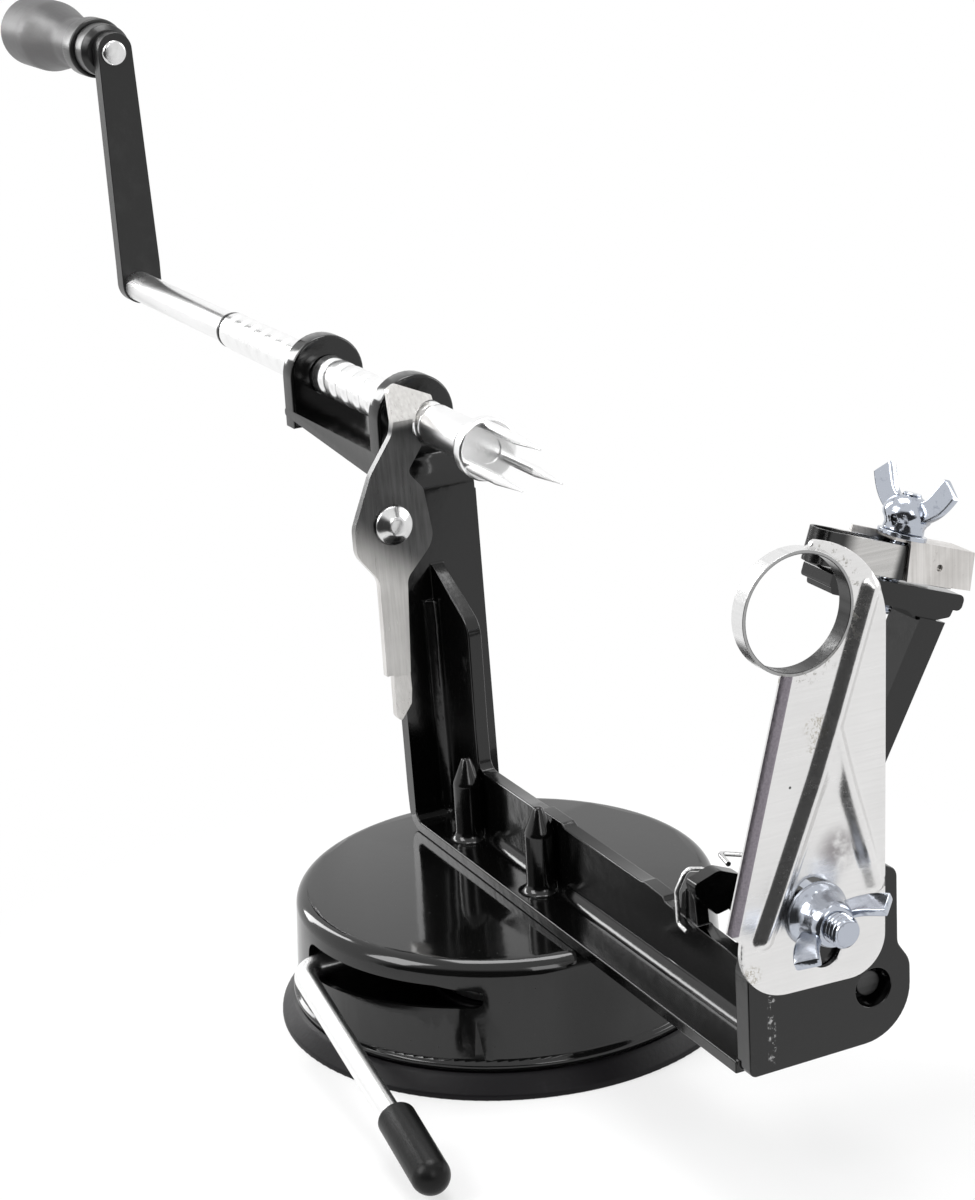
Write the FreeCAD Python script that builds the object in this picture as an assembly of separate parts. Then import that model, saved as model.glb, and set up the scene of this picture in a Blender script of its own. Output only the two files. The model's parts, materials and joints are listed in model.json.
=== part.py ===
import FreeCAD, Part
import math
import os

# Hand-cranked peeler on a suction base. Millimetres.
# The origin is the centre of the suction base on the table, +Z up.
# +X runs along the feed screw towards the slicer, +Y towards the peeling arm.

vec = FreeCAD.Vector
along_x = vec(1, 0, 0)
along_y = vec(0, 1, 0)
along_z = vec(0, 0, 1)

# running fits and face gaps
fit_gap = 0.05
face_gap = 0.3

# feed screw
screw_y = 6.4
screw_z = 120.3
screw_r = 4.75
screw_lead = 6.5
thread_depth = 0.7
shank_r = 4.0
thread_x = (-151.0, -32.5)
hub_r = 4.7
fork_disc_x = (-12.0, -9.0)
fork_disc_r = 6.9
prong_count = 3
prong_circle_r = 5.3
prong_r = 1.2
prong_tip_x = 15.0

# crank and handle
arm_x = (-225.6, -221.0)
crank_y = 5.4
crank_z = 183.6
handle_axle_r = 2.4
grip_end_x = -295.0

# casting
web_y = (3.4, 6.6)
flange_y = (-6.1, 16.0)
flange_taper = 0.75
cove_r = 2.8
bed_z = (28.3, 30.8)
web_top_z = 46.0
upright_foot_x = -32.6
upright_slope = 0.052
head_y = (-2.95, 15.75)
head_floor_z = 112.7
ear_rear_x = (-98.5, -93.0)
ear_front_x = (-50.0, -44.5)
ear_r = 9.35
front_x = (105.2, 109.7)
cast_round = 0.7

# peeling arm pivot
pivot_y = 22.2
pivot_z = 39.9
pivot_r = 3.6
pivot_end_r = 2.65
pivot_window = (21.75, 40.1, 3.85)
hub_x = (74.5, 81.0)
arm_hub_r = 7.0

# suction base
pad_r = 50.2
drum_bead_r = 46.6
drum_top_r = 45.2
drum_wall = 1.2
drum_top_z = 28.3
stud_r = 4.0
stud_foot_r = 6.0
base_screw_x = (-17.0, 17.0)
base_screw_r = 2.0
boss_y = 0.4
lever_z = 18.2
lever_y = -49.0
lever_r = 2.4
lever_lift = 2.4
lever_turn = 40.0
lever_tip = (71.0, -54.0, 5.15)
lever_gap = 0.2
collar_r = 3.4
stud_top_z = 25.7

# slicer and its clamp bolt
slicer_x = (110.0, 111.1)
bolt_y = 8.5
bolt_z = 59.1
bolt_r = 3.0
ring_y = 5.7
ring_z = 117.4
ring_r = 11.5
ring_wall = 0.7
slot_low = (10.4, 51.2)
slot_high = (7.6, 63.0)
slot_half = 3.4
rib_half = 1.75
rib_height = 1.3

# latch
latch_x = (-35.1, -33.2)
latch_y = -6.0
latch_z = 100.1
latch_rivet_r = 2.0
latch_lean = -2.97
latch_lean_x = -36.3

# peeling head, measured from its bolt's foot on the slab top
head_foot_y = 48.1
head_foot_z = 106.4
head_tilt = -19.6
head_bolt_x = 77.55
head_bolt_r = 2.0
strip_height = 6.7
strip_nose_s = -17.2


def in_plane(plane, level, a, b):
    if plane == "YZ":
        return vec(level, a, b)
    if plane == "XZ":
        return vec(a, level, b)
    return vec(a, b, level)


def rounded_wire(points, plane, level):
    # corners are (a, b) or (a, b, radius): straight runs joined by tangent arcs
    count = len(points)
    trims = []
    for index in range(count):
        here = in_plane(plane, level, points[index][0], points[index][1])
        before = in_plane(plane, level, points[index - 1][0], points[index - 1][1])
        following = points[(index + 1) % count]
        after = in_plane(plane, level, following[0], following[1])
        back = (before - here).normalize()
        ahead = (after - here).normalize()
        radius = points[index][2] if len(points[index]) > 2 else 0.0
        if radius <= 0:
            trims.append((here, None, here))
            continue
        half_angle = back.getAngle(ahead) / 2
        reach = radius / math.tan(half_angle)
        middle_way = (back + ahead).normalize()
        centre = here + middle_way * (radius / math.sin(half_angle))
        trims.append((here + back * reach, centre - middle_way * radius, here + ahead * reach))
    edges = []
    for index in range(count):
        start, middle, end = trims[index]
        if middle is not None:
            edges.append(Part.Arc(start, middle, end).toShape())
        next_start = trims[(index + 1) % count][0]
        if (next_start - end).Length > 1e-6:
            edges.append(Part.LineSegment(end, next_start).toShape())
    return Part.Wire(edges)


def plate(points, plane, low, high):
    # the outline is pushed from low to high along the plane's normal
    face = Part.Face(rounded_wire(points, plane, low))
    if plane == "YZ":
        return face.extrude(vec(high - low, 0, 0))
    if plane == "XZ":
        return face.extrude(vec(0, high - low, 0))
    return face.extrude(vec(0, 0, high - low))


def eased(solid, radius, way):
    # rounds the rims of the flat ends that face along the given way
    rims = []
    for face in solid.Faces:
        flat = face.Surface.TypeId == "Part::GeomPlane"
        if flat and abs(abs(face.normalAt(0, 0).dot(way)) - 1) < 1e-6:
            rims.extend(face.Edges)
    return solid.makeFillet(radius, rims)


def pin(start, end, radius):
    way = end - start
    return Part.makeCylinder(radius, way.Length, start, way)


def lathe_x(points, y, z):
    # points are (x, radius, corner radius) from the axis out and back to it
    outline = rounded_wire(points, "XY", 0.0)
    solid = Part.Face(outline).revolve(vec(0, 0, 0), along_x, 360)
    solid.translate(vec(0, y, z))
    return solid


def lathe_z(points, x, y):
    # points are (radius, z, corner radius)
    outline = rounded_wire(points, "XZ", 0.0)
    solid = Part.Face(outline).revolve(vec(0, 0, 0), along_z, 360)
    solid.translate(vec(x, y, 0))
    return solid


def joined(solids):
    result = solids[0].multiFuse(solids[1:])
    return result.removeSplitter()


def leg_edges(points, bends):
    # straight runs joined by tangent arcs, from the first point to the last
    edges = []
    start = points[0]
    for index in range(1, len(points) - 1):
        corner = points[index]
        back = (points[index - 1] - corner).normalize()
        ahead = (points[index + 1] - corner).normalize()
        half_angle = back.getAngle(ahead) / 2
        reach = bends[index - 1] / math.tan(half_angle)
        middle_way = (back + ahead).normalize()
        centre = corner + middle_way * (bends[index - 1] / math.sin(half_angle))
        arc_start = corner + back * reach
        arc_end = corner + ahead * reach
        edges.append(Part.LineSegment(start, arc_start).toShape())
        edges.append(Part.Arc(arc_start, centre - middle_way * bends[index - 1], arc_end).toShape())
        start = arc_end
    edges.append(Part.LineSegment(start, points[-1]).toShape())
    return edges


def bent_rod(points, bends, radius):
    path = Part.Wire(leg_edges(points, bends))
    ring = Part.Wire([Part.makeCircle(radius, points[0], points[1] - points[0])])
    return path.makePipeShell([ring], True, False)


def helix_edges(centre_y, centre_z, radius, start_x, pitch, quarter_turns, start_angle):
    # each quarter turn of the coil is a pair of arcs tangent to the helix at both ends
    def helix_point(angle):
        x = start_x + pitch * (angle - start_angle) / (2 * math.pi)
        return vec(x, centre_y + radius * math.cos(angle), centre_z + radius * math.sin(angle))

    def helix_way(angle):
        rise = pitch / (2 * math.pi)
        return vec(rise, -radius * math.sin(angle), radius * math.cos(angle)).normalize()

    edges = []
    for quarter in range(quarter_turns):
        low = start_angle + quarter * math.pi / 2
        high = low + math.pi / 2
        p0 = helix_point(low)
        p1 = helix_point(high)
        t0 = helix_way(low)
        t1 = helix_way(high)
        gap = p1 - p0
        blend = t0 + t1
        square_part = blend.dot(blend) - 4
        root = math.sqrt(gap.dot(blend) ** 2 - square_part * gap.dot(gap))
        reach = (gap.dot(blend) - root) / square_part
        q0 = p0 + t0 * reach
        q1 = p1 - t1 * reach
        joint = (q0 + q1) * 0.5
        for start, way, end in ((p0, t0, joint), (joint, (q1 - q0).normalize(), p1)):
            edges.append(tangent_arc(start, way, end))
    return edges


def tangent_arc(start, way, end):
    chord = end - start
    across = chord - way * chord.dot(way)
    radius = chord.dot(chord) / (2 * across.Length)
    centre = start + across.normalize() * radius
    middle_way = ((start + end) * 0.5 - centre).normalize()
    return Part.Arc(start, centre + middle_way * radius, end).toShape()


def export(name, shape):
    if len(shape.Solids) == 0 or not shape.isValid():
        raise ValueError(name + " is not a valid solid")
    shape.exportStep("parts/" + name + ".step")
    print(name, len(shape.Solids), "solids", round(shape.Volume, 1), "mm3")


def head_point(x, s, n):
    # s runs along the slab away from the nose, n is square to the slab
    turn = math.radians(head_tilt)
    y = head_foot_y + s * math.cos(turn) - n * math.sin(turn)
    z = head_foot_z + s * math.sin(turn) + n * math.cos(turn)
    return vec(x, y, z)


def head_plate(points, x_low, x_high):
    # an outline in the slab's own (s, n) directions, pushed along X
    turned = []
    for point in points:
        place = head_point(0, point[0], point[1])
        turned.append((place.y, place.z) + tuple(point[2:]))
    return plate(turned, "YZ", x_low, x_high)


def leaned(shape):
    # the latch and its rivet stand square to the upright, which leans back
    return shape.rotate(vec(latch_lean_x, latch_y, latch_z), along_y, latch_lean)


def cove(corner, air, radius, plane, level):
    # the section that fills an inside corner, with its hollow side towards the air
    a, b = corner
    deep = 0.3
    return rounded_wire([
        (a - deep * air[0], b - deep * air[1]),
        (a - deep * air[0], b + radius * air[1]),
        (a, b + radius * air[1]),
        (a, b, radius),
        (a + radius * air[0], b),
        (a + radius * air[0], b - deep * air[1]),
    ], plane, level)


def casting_coves():
    # cast fillets along both sides of the web's foot and up the corner of the upright
    length = front_x[0] - upright_foot_x
    coves = []
    for y, side in ((web_y[0], -1), (web_y[1], 1)):
        section = cove((y, bed_z[1]), (side, 1), cove_r, "YZ", upright_foot_x)
        coves.append(Part.Face(section).extrude(vec(length, 0, 0)))
        section = cove((upright_foot_x, y), (1, side), cove_r, "XY", bed_z[1])
        rise = 50.0
        coves.append(Part.Face(section).extrude(vec(-rise * upright_slope, 0, rise)))
    return coves


def bed_and_upright():
    strip = plate([
        (front_x[0] + 0.5, bed_z[0]),
        (upright_foot_x - 3.4, bed_z[0], 5.0),
        (-39.5, 104.0),
        (-36.4, 104.0),
        (upright_foot_x, bed_z[1], 2.6),
        (front_x[0] + 0.5, bed_z[1]),
    ], "XZ", flange_y[0], flange_y[1])
    taper = plate([
        (-45.0, flange_y[0] - 1.0),
        (front_x[0], flange_y[0] - 1.0),
        (front_x[0], flange_y[0]),
        (-45.0, flange_y[0] + flange_taper),
    ], "XY", bed_z[0] - 1.0, 105.0)
    head = plate([
        (-98.5, 110.9, 0.8),
        (-98.5, head_floor_z, 0.8),
        (-41.5, head_floor_z, 4.0),
        (-36.6, 107.5, 6.0),
        (-36.1, 98.0),
        (-39.2, 98.0),
        (-40.0, 105.9, 4.0),
        (-50.0, 106.6, 8.0),
    ], "XZ", head_y[0], head_y[1])
    web = plate([
        (-34.5, 29.5),
        (front_x[0] + 0.5, 29.5),
        (front_x[0] + 0.5, 42.0),
        (88.0, 44.0, 20.0),
        (64.5, 45.0),
        (63.5, 45.9, 0.5),
        (56.0, 46.3, 0.5),
        (54.8, web_top_z),
        (23.0, web_top_z),
        (21.5, 46.8, 0.5),
        (12.5, 46.8, 0.5),
        (11.0, web_top_z),
        (-16.9, web_top_z, 3.0),
        (-17.6, 55.0, 20.0),
        (-18.2, 79.0, 5.0),
        (-37.2, 89.8),
    ], "XZ", web_y[0], web_y[1])
    return [strip.cut(taper), head, web]


def bearing_ears():
    ears = []
    for low, high in (ear_rear_x, ear_front_x):
        foot = plate([
            (head_y[0], 108.5),
            (head_y[1], 108.5),
            (head_y[1], screw_z),
            (head_y[0], screw_z),
        ], "YZ", low, high)
        top = pin(vec(low, screw_y, screw_z), vec(high, screw_y, screw_z), ear_r)
        ears.append(eased(joined([foot, top]), cast_round, along_x))
    return ears


def front_plate():
    outline = [
        (-5.4, 28.8, 1.5),
        (30.0, 29.0, 10.2),
        (30.0, 43.8, 5.0),
        (27.3, 47.8, 3.0),
        (27.3, 63.8, 2.5),
        (2.0, 63.8, 4.0),
        (-5.4, 50.0, 6.0),
    ]
    return plate(outline, "YZ", front_x[0], front_x[1])


def casting_lugs():
    spring_lug = plate([
        (69.8, 43.5),
        (70.8, 49.5, 1.5),
        (73.4, 51.8, 1.5),
        (76.0, 49.6, 1.5),
        (76.8, 43.5),
    ], "XZ", web_y[0] + 0.2, web_y[1] - 0.2)
    rivet_lug = pin(vec(-38.4, latch_y, latch_z), vec(latch_x[0] - face_gap, latch_y, latch_z), 7.0)
    pivot_arm = plate([
        (web_y[0] + 1, 30.0),
        (22.0, 31.6, 2.0),
        (24.0, 46.0, 4.0),
        (web_y[0] + 1, 43.2),
    ], "YZ", 85.0, 95.0)
    pivot_boss = pin(vec(84.0, pivot_y, pivot_z), vec(96.0, pivot_y, pivot_z), 7.0)
    rivet_lug = leaned(eased(rivet_lug, 0.4, along_x))
    return [spring_lug, rivet_lug, pivot_arm, eased(pivot_boss, 0.6, along_x)]


def base_bosses():
    bosses = []
    for x in base_screw_x:
        bosses.append(lathe_z([
            (0, 29.5),
            (5.2, 29.5),
            (5.2, bed_z[1]),
            (3.2, bed_z[1], 2.0),
            (3.2, 44.0, 3.0),
            (0.9, 49.7, 0.8),
            (0, 49.7),
        ], x, boss_y))
    return bosses


def frame_casting():
    pieces = bed_and_upright() + casting_coves() + bearing_ears() + [front_plate()]
    body = joined(pieces + casting_lugs() + base_bosses())
    window_y, window_z, window_r = pivot_window
    cuts = [
        pin(vec(-110, screw_y, screw_z), vec(-40, screw_y, screw_z), screw_r + fit_gap),
        pin(vec(80, pivot_y, pivot_z), vec(100, pivot_y, pivot_z), pivot_r + fit_gap),
        pin(vec(100, window_y, window_z), vec(110, window_y, window_z), window_r),
        pin(vec(100, bolt_y, bolt_z), vec(110, bolt_y, bolt_z), bolt_r + 0.2),
        leaned(pin(vec(-45, latch_y, latch_z), vec(-30, latch_y, latch_z), latch_rivet_r)),
    ]
    for x in base_screw_x:
        cuts.append(pin(vec(x, boss_y, 27), vec(x, boss_y, 42.5), base_screw_r))
    return body.cut(Part.makeCompound(cuts))


def slot_cutter(angle):
    # punched straight through the wall; it climbs as the lever turns, then narrows and stops it
    end_x = drum_top_r * math.sin(math.radians(lever_turn))
    climb = lever_lift / end_x
    low = lever_z - lever_r - lever_gap
    top = lever_z + lever_lift + lever_r + lever_gap
    cutter = plate([
        (-3.2, low - 3.2 * climb, 2.6),
        (38.2, low + 38.2 * climb, 1.2),
        (38.2, top - 0.9, 1.2),
        (34.5, top - 0.6, 3.0),
        (end_x + 2.6, top, 3.0),
        (-3.2, top, 3.6),
    ], "XZ", -drum_bead_r - 2.0, -18.0)
    return cutter.rotate(vec(0, 0, 0), along_z, angle)


def base_drum():
    outer = lathe_z([
        (0, drum_top_z),
        (drum_top_r, drum_top_z, 3.2),
        (drum_bead_r - 0.3, 7.2, 0.8),
        (drum_bead_r + 0.9, 6.3, 0.7),
        (drum_bead_r + 0.2, 5.0, 0.4),
        (drum_bead_r - drum_wall, 5.0),
        (drum_top_r - drum_wall, drum_top_z - drum_wall, 2.0),
        (0, drum_top_z - drum_wall),
    ], 0, 0)
    holes = [slot_cutter(0.0), slot_cutter(180.0)]
    holes.append(pin(vec(0, 0, 25), vec(0, 0, 30), stud_r + fit_gap))
    for x in base_screw_x:
        holes.append(pin(vec(x, boss_y, 20), vec(x, boss_y, 30), base_screw_r + 0.3))
    return outer.cut(Part.makeCompound(holes))


def suction_pad():
    return lathe_z([
        (0, 0),
        (pad_r, 0, 0.3),
        (pad_r - 0.1, 1.2, 1.0),
        (47.6, 4.2, 2.5),
        (46.9, 4.7, 0.2),
        (45.0, 4.7),
        (40.0, 3.6, 4.0),
        (16.5, 3.6, 1.0),
        (16.5, 4.6, 0.5),
        (0, 4.6),
    ], 0, 0)


def pad_plate():
    # the stud's foot turns in the step under this plate, which lifts the rubber with it
    return lathe_z([
        (stud_r + fit_gap, 6.6),
        (stud_foot_r + fit_gap, 6.6),
        (stud_foot_r + fit_gap, 4.9),
        (15.0, 4.9),
        (15.0, 6.6, 0.4),
        (9.0, 7.2, 1.0),
        (7.6, 8.6, 0.6),
        (stud_r + fit_gap, 8.6),
    ], 0, 0)


def pad_stud():
    body = lathe_z([
        (0, 5.0),
        (stud_foot_r, 5.0),
        (stud_foot_r, 6.5),
        (stud_r, 6.5),
        (stud_r, stud_top_z, 0.6),
        (0, stud_top_z),
    ], 0, 0)
    hole = pin(vec(0, -10, lever_z), vec(0, 10, lever_z), lever_r)
    return body.cut(hole)


def stud_guide():
    low = lever_z + lever_lift + collar_r + 0.4
    return lathe_z([
        (stud_r + fit_gap, low),
        (6.0, low, 0.4),
        (6.5, 25.6),
        (9.0, 26.1),
        (9.0, drum_top_z - drum_wall),
        (stud_r + fit_gap, drum_top_z - drum_wall),
    ], 0, 0)


def lever_rod():
    route = [
        vec(0, 47.9, lever_z),
        vec(0, lever_y, lever_z),
        vec(*lever_tip),
    ]
    return bent_rod(route, [4.5], lever_r)


def lever_cap():
    # a soft sleeve that sits a little askew on the rod, with a domed end
    cap_r = 3.95
    start = vec(52.3, -52.0, 8.6)
    dome = vec(70.9, -53.6, 5.15)
    way = (dome - start).normalize()
    sleeve = lathe_x([
        (0, 0),
        (0, cap_r, 1.1),
        ((dome - start).Length + cap_r, cap_r, cap_r - 0.1),
        ((dome - start).Length + cap_r, 0),
    ], 0, 0)
    sleeve.Placement = FreeCAD.Placement(start, FreeCAD.Rotation(along_x, way))
    return sleeve.cut(lever_rod())


def lever_collars():
    collars = []
    for side in (-1, 1):
        ring = pin(vec(0, side * 4.4, lever_z), vec(0, side * 6.0, lever_z), collar_r)
        collars.append(ring.cut(pin(vec(0, -8, lever_z), vec(0, 8, lever_z), lever_r)))
    return Part.makeCompound(collars)


def base_screws():
    screws = []
    for x in base_screw_x:
        head = lathe_z([(0, 22.3), (3.4, 22.6, 1.2), (3.6, 25.4), (0, 25.4)], x, boss_y)
        shank = pin(vec(x, boss_y, 25.2), vec(x, boss_y, 41.0), base_screw_r)
        screws.append(joined([head, shank]))
    return Part.makeCompound(screws)


def base_washers():
    washers = []
    for x in base_screw_x:
        disc = pin(vec(x, boss_y, 25.4), vec(x, boss_y, drum_top_z - drum_wall), 5.0)
        washers.append(disc.cut(pin(vec(x, boss_y, 24), vec(x, boss_y, 30), base_screw_r)))
    return Part.makeCompound(washers)


def threaded_length():
    # a round whose centre runs round the axis once every lead leaves one smooth thread
    offset = thread_depth / 2
    length = thread_x[1] - thread_x[0]
    path = Part.makeHelix(screw_lead, length, offset)
    ring = Part.Wire([Part.makeCircle(screw_r - offset, vec(offset, 0, 0), along_z)])
    solid = Part.Wire(path.Edges).makePipeShell([ring], True, True)
    solid.rotate(vec(0, 0, 0), along_y, 90)
    solid.translate(vec(thread_x[0], screw_y, screw_z))
    return solid


def feed_screw():
    shank = lathe_x([
        (-226.6, 0),
        (-226.6, shank_r - 0.6, 0.4),
        (thread_x[0] + 1.0, shank_r),
        (thread_x[0] + 1.0, 0),
    ], screw_y, screw_z)
    nose = lathe_x([
        (thread_x[1] - 0.5, 0),
        (thread_x[1] - 0.5, hub_r - 1.0),
        (thread_x[1] + 0.6, hub_r, 0.5),
        (fork_disc_x[0] - 4.0, hub_r, 0.5),
        (fork_disc_x[0] - 4.0, 3.0),
        (fork_disc_x[1] - 0.4, 3.0),
        (fork_disc_x[1] - 0.4, 0),
    ], screw_y, screw_z)
    return joined([threaded_length(), shank, nose])


def thread_end_ring():
    ring = pin(vec(thread_x[0] - 1.4, screw_y, screw_z), vec(thread_x[0] - 0.3, screw_y, screw_z), 4.6)
    return ring.cut(pin(vec(-160, screw_y, screw_z), vec(-140, screw_y, screw_z), shank_r + fit_gap))


def fork():
    disc = lathe_x([
        (fork_disc_x[0] - 3.8, 3.0),
        (fork_disc_x[0] - 3.8, hub_r, 0.4),
        (fork_disc_x[0], hub_r, 0.3),
        (fork_disc_x[0], fork_disc_r, 0.4),
        (fork_disc_x[1], fork_disc_r, 0.6),
        (fork_disc_x[1], 3.0),
    ], screw_y, screw_z)
    prongs = []
    for index in range(prong_count):
        angle = math.radians(90 + 360 * index / prong_count)
        y = screw_y + prong_circle_r * math.cos(angle)
        z = screw_z + prong_circle_r * math.sin(angle)
        prongs.append(lathe_x([
            (fork_disc_x[1] - 1.5, 0),
            (fork_disc_x[1] - 1.5, prong_r),
            (4.0, prong_r, 3.0),
            (prong_tip_x, 0.15),
            (prong_tip_x, 0),
        ], y, z))
    return joined([disc] + prongs)


def crank_arm():
    outline = [
        (13.0, 115.4, 5.45),
        (13.0, 126.0, 30.0),
        (10.5, 188.8, 4.6),
        (1.1, 188.8, 4.6),
        (1.9, 126.0, 30.0),
        (1.9, 115.4, 5.45),
    ]
    bar = plate(outline, "YZ", arm_x[0], arm_x[1])
    holes = [
        pin(vec(-240, screw_y, screw_z), vec(-210, screw_y, screw_z), shank_r),
        pin(vec(-240, crank_y, crank_z), vec(-210, crank_y, crank_z), handle_axle_r),
    ]
    return bar.cut(Part.makeCompound(holes))


def handle_axle():
    return lathe_x([
        (-290.0, 0),
        (-290.0, handle_axle_r, 0.4),
        (arm_x[1], handle_axle_r),
        (arm_x[1], 3.5, 0.1),
        (arm_x[1] + 1.2, 3.2, 0.9),
        (arm_x[1] + 1.6, 0),
    ], crank_y, crank_z)


def handle_shoulder():
    return lathe_x([
        (-233.0, handle_axle_r),
        (-233.0, 7.0, 0.8),
        (-227.2, 7.0, 0.8),
        (arm_x[0], 5.6, 0.2),
        (arm_x[0], handle_axle_r),
    ], crank_y, crank_z)


def handle_ferrule():
    return lathe_x([
        (-240.0, 5.0),
        (-240.0, 8.0, 0.6),
        (-233.3, 8.0, 0.8),
        (-233.3, handle_axle_r + fit_gap),
        (-236.0, handle_axle_r + fit_gap),
        (-236.0, 5.0),
    ], crank_y, crank_z)


def handle_grip():
    return lathe_x([
        (-236.0, handle_axle_r + fit_gap),
        (-236.0, 5.0),
        (-240.0, 5.0),
        (-240.0, 6.6, 0.4),
        (-252.0, 6.6, 20.0),
        (-270.0, 9.8, 25.0),
        (-289.0, 9.8, 8.0),
        (grip_end_x, 6.5, 5.0),
        (grip_end_x, 0),
        (-290.4, 0),
        (-290.4, handle_axle_r + fit_gap),
    ], crank_y, crank_z)


def latch_plate():
    # a lever with a hook over the screw, which leans back, and a thumb tab bent forwards
    low = latch_x[0]
    front = latch_x[1]
    body = plate([
        (-10.3, 88.2, 4.0),
        (-15.1, 94.5, 5.0),
        (-15.1, 100.5, 6.0),
        (-10.2, 111.9, 8.0),
        (-4.4, 119.9, 4.0),
        (-3.9, 122.6),
        (1.0, 122.6),
        (0.4, 119.6, 1.5),
        (2.6, 116.6, 0.8),
        (-1.4, 111.1, 1.5),
        (2.0, 107.0, 2.5),
        (3.6, 95.0, 6.0),
        (-3.6, 87.6, 3.5),
        (-4.9, 66.3),
        (-10.6, 66.3),
        (-10.5, 80.0),
    ], "YZ", low, front)
    hook = plate([
        (-4.0, 122.0),
        (-2.7, 128.8, 1.2),
        (-0.3, 129.8, 1.5),
        (6.9, 126.6, 0.4),
        (6.9, 118.0),
        (-4.0, 118.0),
    ], "YZ", low - 6.0, front)
    lean_back = plate([
        (low, 121.8),
        (front, 121.8),
        (front, 122.4, 2.0),
        (front - 5.0, 130.5),
        (low - 5.0, 130.5),
        (low, 122.4, 1.0),
    ], "XZ", -10.0, 10.0)
    bite = pin(vec(low - 8.0, screw_y, screw_z), vec(front + 1.0, screw_y, screw_z), screw_r + 0.6)
    tab = plate([
        (-8.9, 67.0),
        (-10.0, 57.6, 0.8),
        (-9.2, 56.2, 0.6),
        (-6.0, 59.6, 1.0),
        (-5.3, 62.6),
        (-4.9, 67.0),
    ], "YZ", low, front + 4.0)
    bent_forward = plate([
        (low, 68.0),
        (front, 68.0),
        (front, 66.0, 3.0),
        (front + 2.6, 55.0),
        (low + 2.6, 55.0),
        (low, 66.0, 1.0),
    ], "XZ", -12.0, 0.0)
    bore = pin(vec(-45, latch_y, latch_z), vec(-30, latch_y, latch_z), latch_rivet_r + fit_gap)
    solid = joined([body, hook.common(lean_back), tab.common(bent_forward)])
    return leaned(solid.cut(Part.makeCompound([bite, bore])))


def latch_rivet():
    body = lathe_x([
        (-44.6, 0),
        (-44.6, 3.2, 0.6),
        (-43.4, 3.2, 0.3),
        (-43.4, latch_rivet_r),
        (latch_x[1] + 0.1, latch_rivet_r),
        (latch_x[1] + 0.1, 4.5, 0.3),
        (latch_x[1] + 1.0, 4.5, 1.2),
        (latch_x[1] + 2.7, 2.0, 2.0),
        (latch_x[1] + 2.8, 0),
    ], latch_y, latch_z)
    return leaned(body)


def latch_spring():
    wire_r = 0.38
    coil_r = 3.1
    pitch = 1.22
    turns = helix_edges(latch_y, latch_z, coil_r, -42.95, pitch, 10, math.pi)
    path = Part.Wire(turns)
    first = path.OrderedEdges[0].valueAt(path.OrderedEdges[0].FirstParameter)
    ring = Part.Wire([Part.makeCircle(wire_r, first, vec(0, 0, -1))])
    tube = path.makePipeShell([ring], True, False)
    print("latch spring least gap", round(pitch - 2 * wire_r, 2), "mm")
    return leaned(tube)


def slicer_plate():
    outline = [
        (-9.9, 45.0, 10.0),
        (23.5, 43.9, 7.5),
        (24.9, 125.0, 17.5),
        (9.5, 130.0, 1.0),
        (8.0, 128.4),
        (8.0, 108.0),
        (2.8, 106.2),
        (-9.9, 59.4),
    ]
    blank = plate(outline, "YZ", slicer_x[0], slicer_x[1])
    ring_hole = pin(vec(100, ring_y, ring_z), vec(120, ring_y, ring_z), ring_r)
    way = vec(0, slot_high[0] - slot_low[0], slot_high[1] - slot_low[1]).normalize()
    side = vec(0, way.z, -way.y)
    corners = []
    for end, along, across in ((slot_low, -1, -1), (slot_high, 1, -1), (slot_high, 1, 1), (slot_low, -1, 1)):
        corner = vec(0, end[0], end[1]) + way * along * slot_half + side * across * slot_half
        corners.append((corner.y, corner.z, slot_half - 0.01))
    slot = plate(corners, "YZ", slicer_x[0] - 1.0, slicer_x[1] + 1.0)
    return blank.cut(Part.makeCompound([ring_hole, slot]))


def slicer_ribs():
    # broad rounded ribs raised from the plate's front, part of a round sunk below its face
    rib_r = (rib_half ** 2 + rib_height ** 2) / (2 * rib_height)
    axis_x = slicer_x[1] + rib_height - rib_r
    runs = [
        (vec(axis_x, 21.0, 117.2), vec(axis_x, 9.6, 85.0)),
        (vec(axis_x, 9.6, 85.0), vec(axis_x, -2.3, 57.0)),
        (vec(axis_x, 12.0, 91.5), vec(axis_x, 21.3, 61.2)),
    ]
    front = Part.makeBox(3, 60, 100, vec(slicer_x[1] - 0.1, -20, 40))
    ribs = []
    for start, end in runs:
        ribs.append(pin(start, end, rib_r))
        ribs.append(Part.makeSphere(rib_r, start))
        ribs.append(Part.makeSphere(rib_r, end))
    crotch = plate([(8.9, 82.2), (15.2, 82.2), (12.2, 91.0)], "YZ", slicer_x[1] - 0.1, slicer_x[1] + 0.9)
    return joined(ribs + [crotch]).common(front)


def slicer_blade():
    plate_part = slicer_plate()
    ribs = slicer_ribs()
    ring_hole = pin(vec(100, ring_y, ring_z), vec(120, ring_y, ring_z), ring_r)
    return joined([plate_part, ribs.cut(ring_hole)])


def coring_ring():
    outer = pin(vec(slicer_x[0] - 1.6, ring_y, ring_z), vec(slicer_x[1] + 1.0, ring_y, ring_z), ring_r)
    inner = pin(vec(100, ring_y, ring_z), vec(120, ring_y, ring_z), ring_r - ring_wall)
    return outer.cut(inner)


def slicer_bolt():
    return lathe_x([
        (front_x[0] - 3.8, 0),
        (front_x[0] - 3.8, 4.9, 0.8),
        (front_x[0], 4.9),
        (front_x[0], bolt_r),
        (121.0, bolt_r, 0.3),
        (121.6, bolt_r - 0.6),
        (121.6, 0),
    ], bolt_y, bolt_z)


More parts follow.
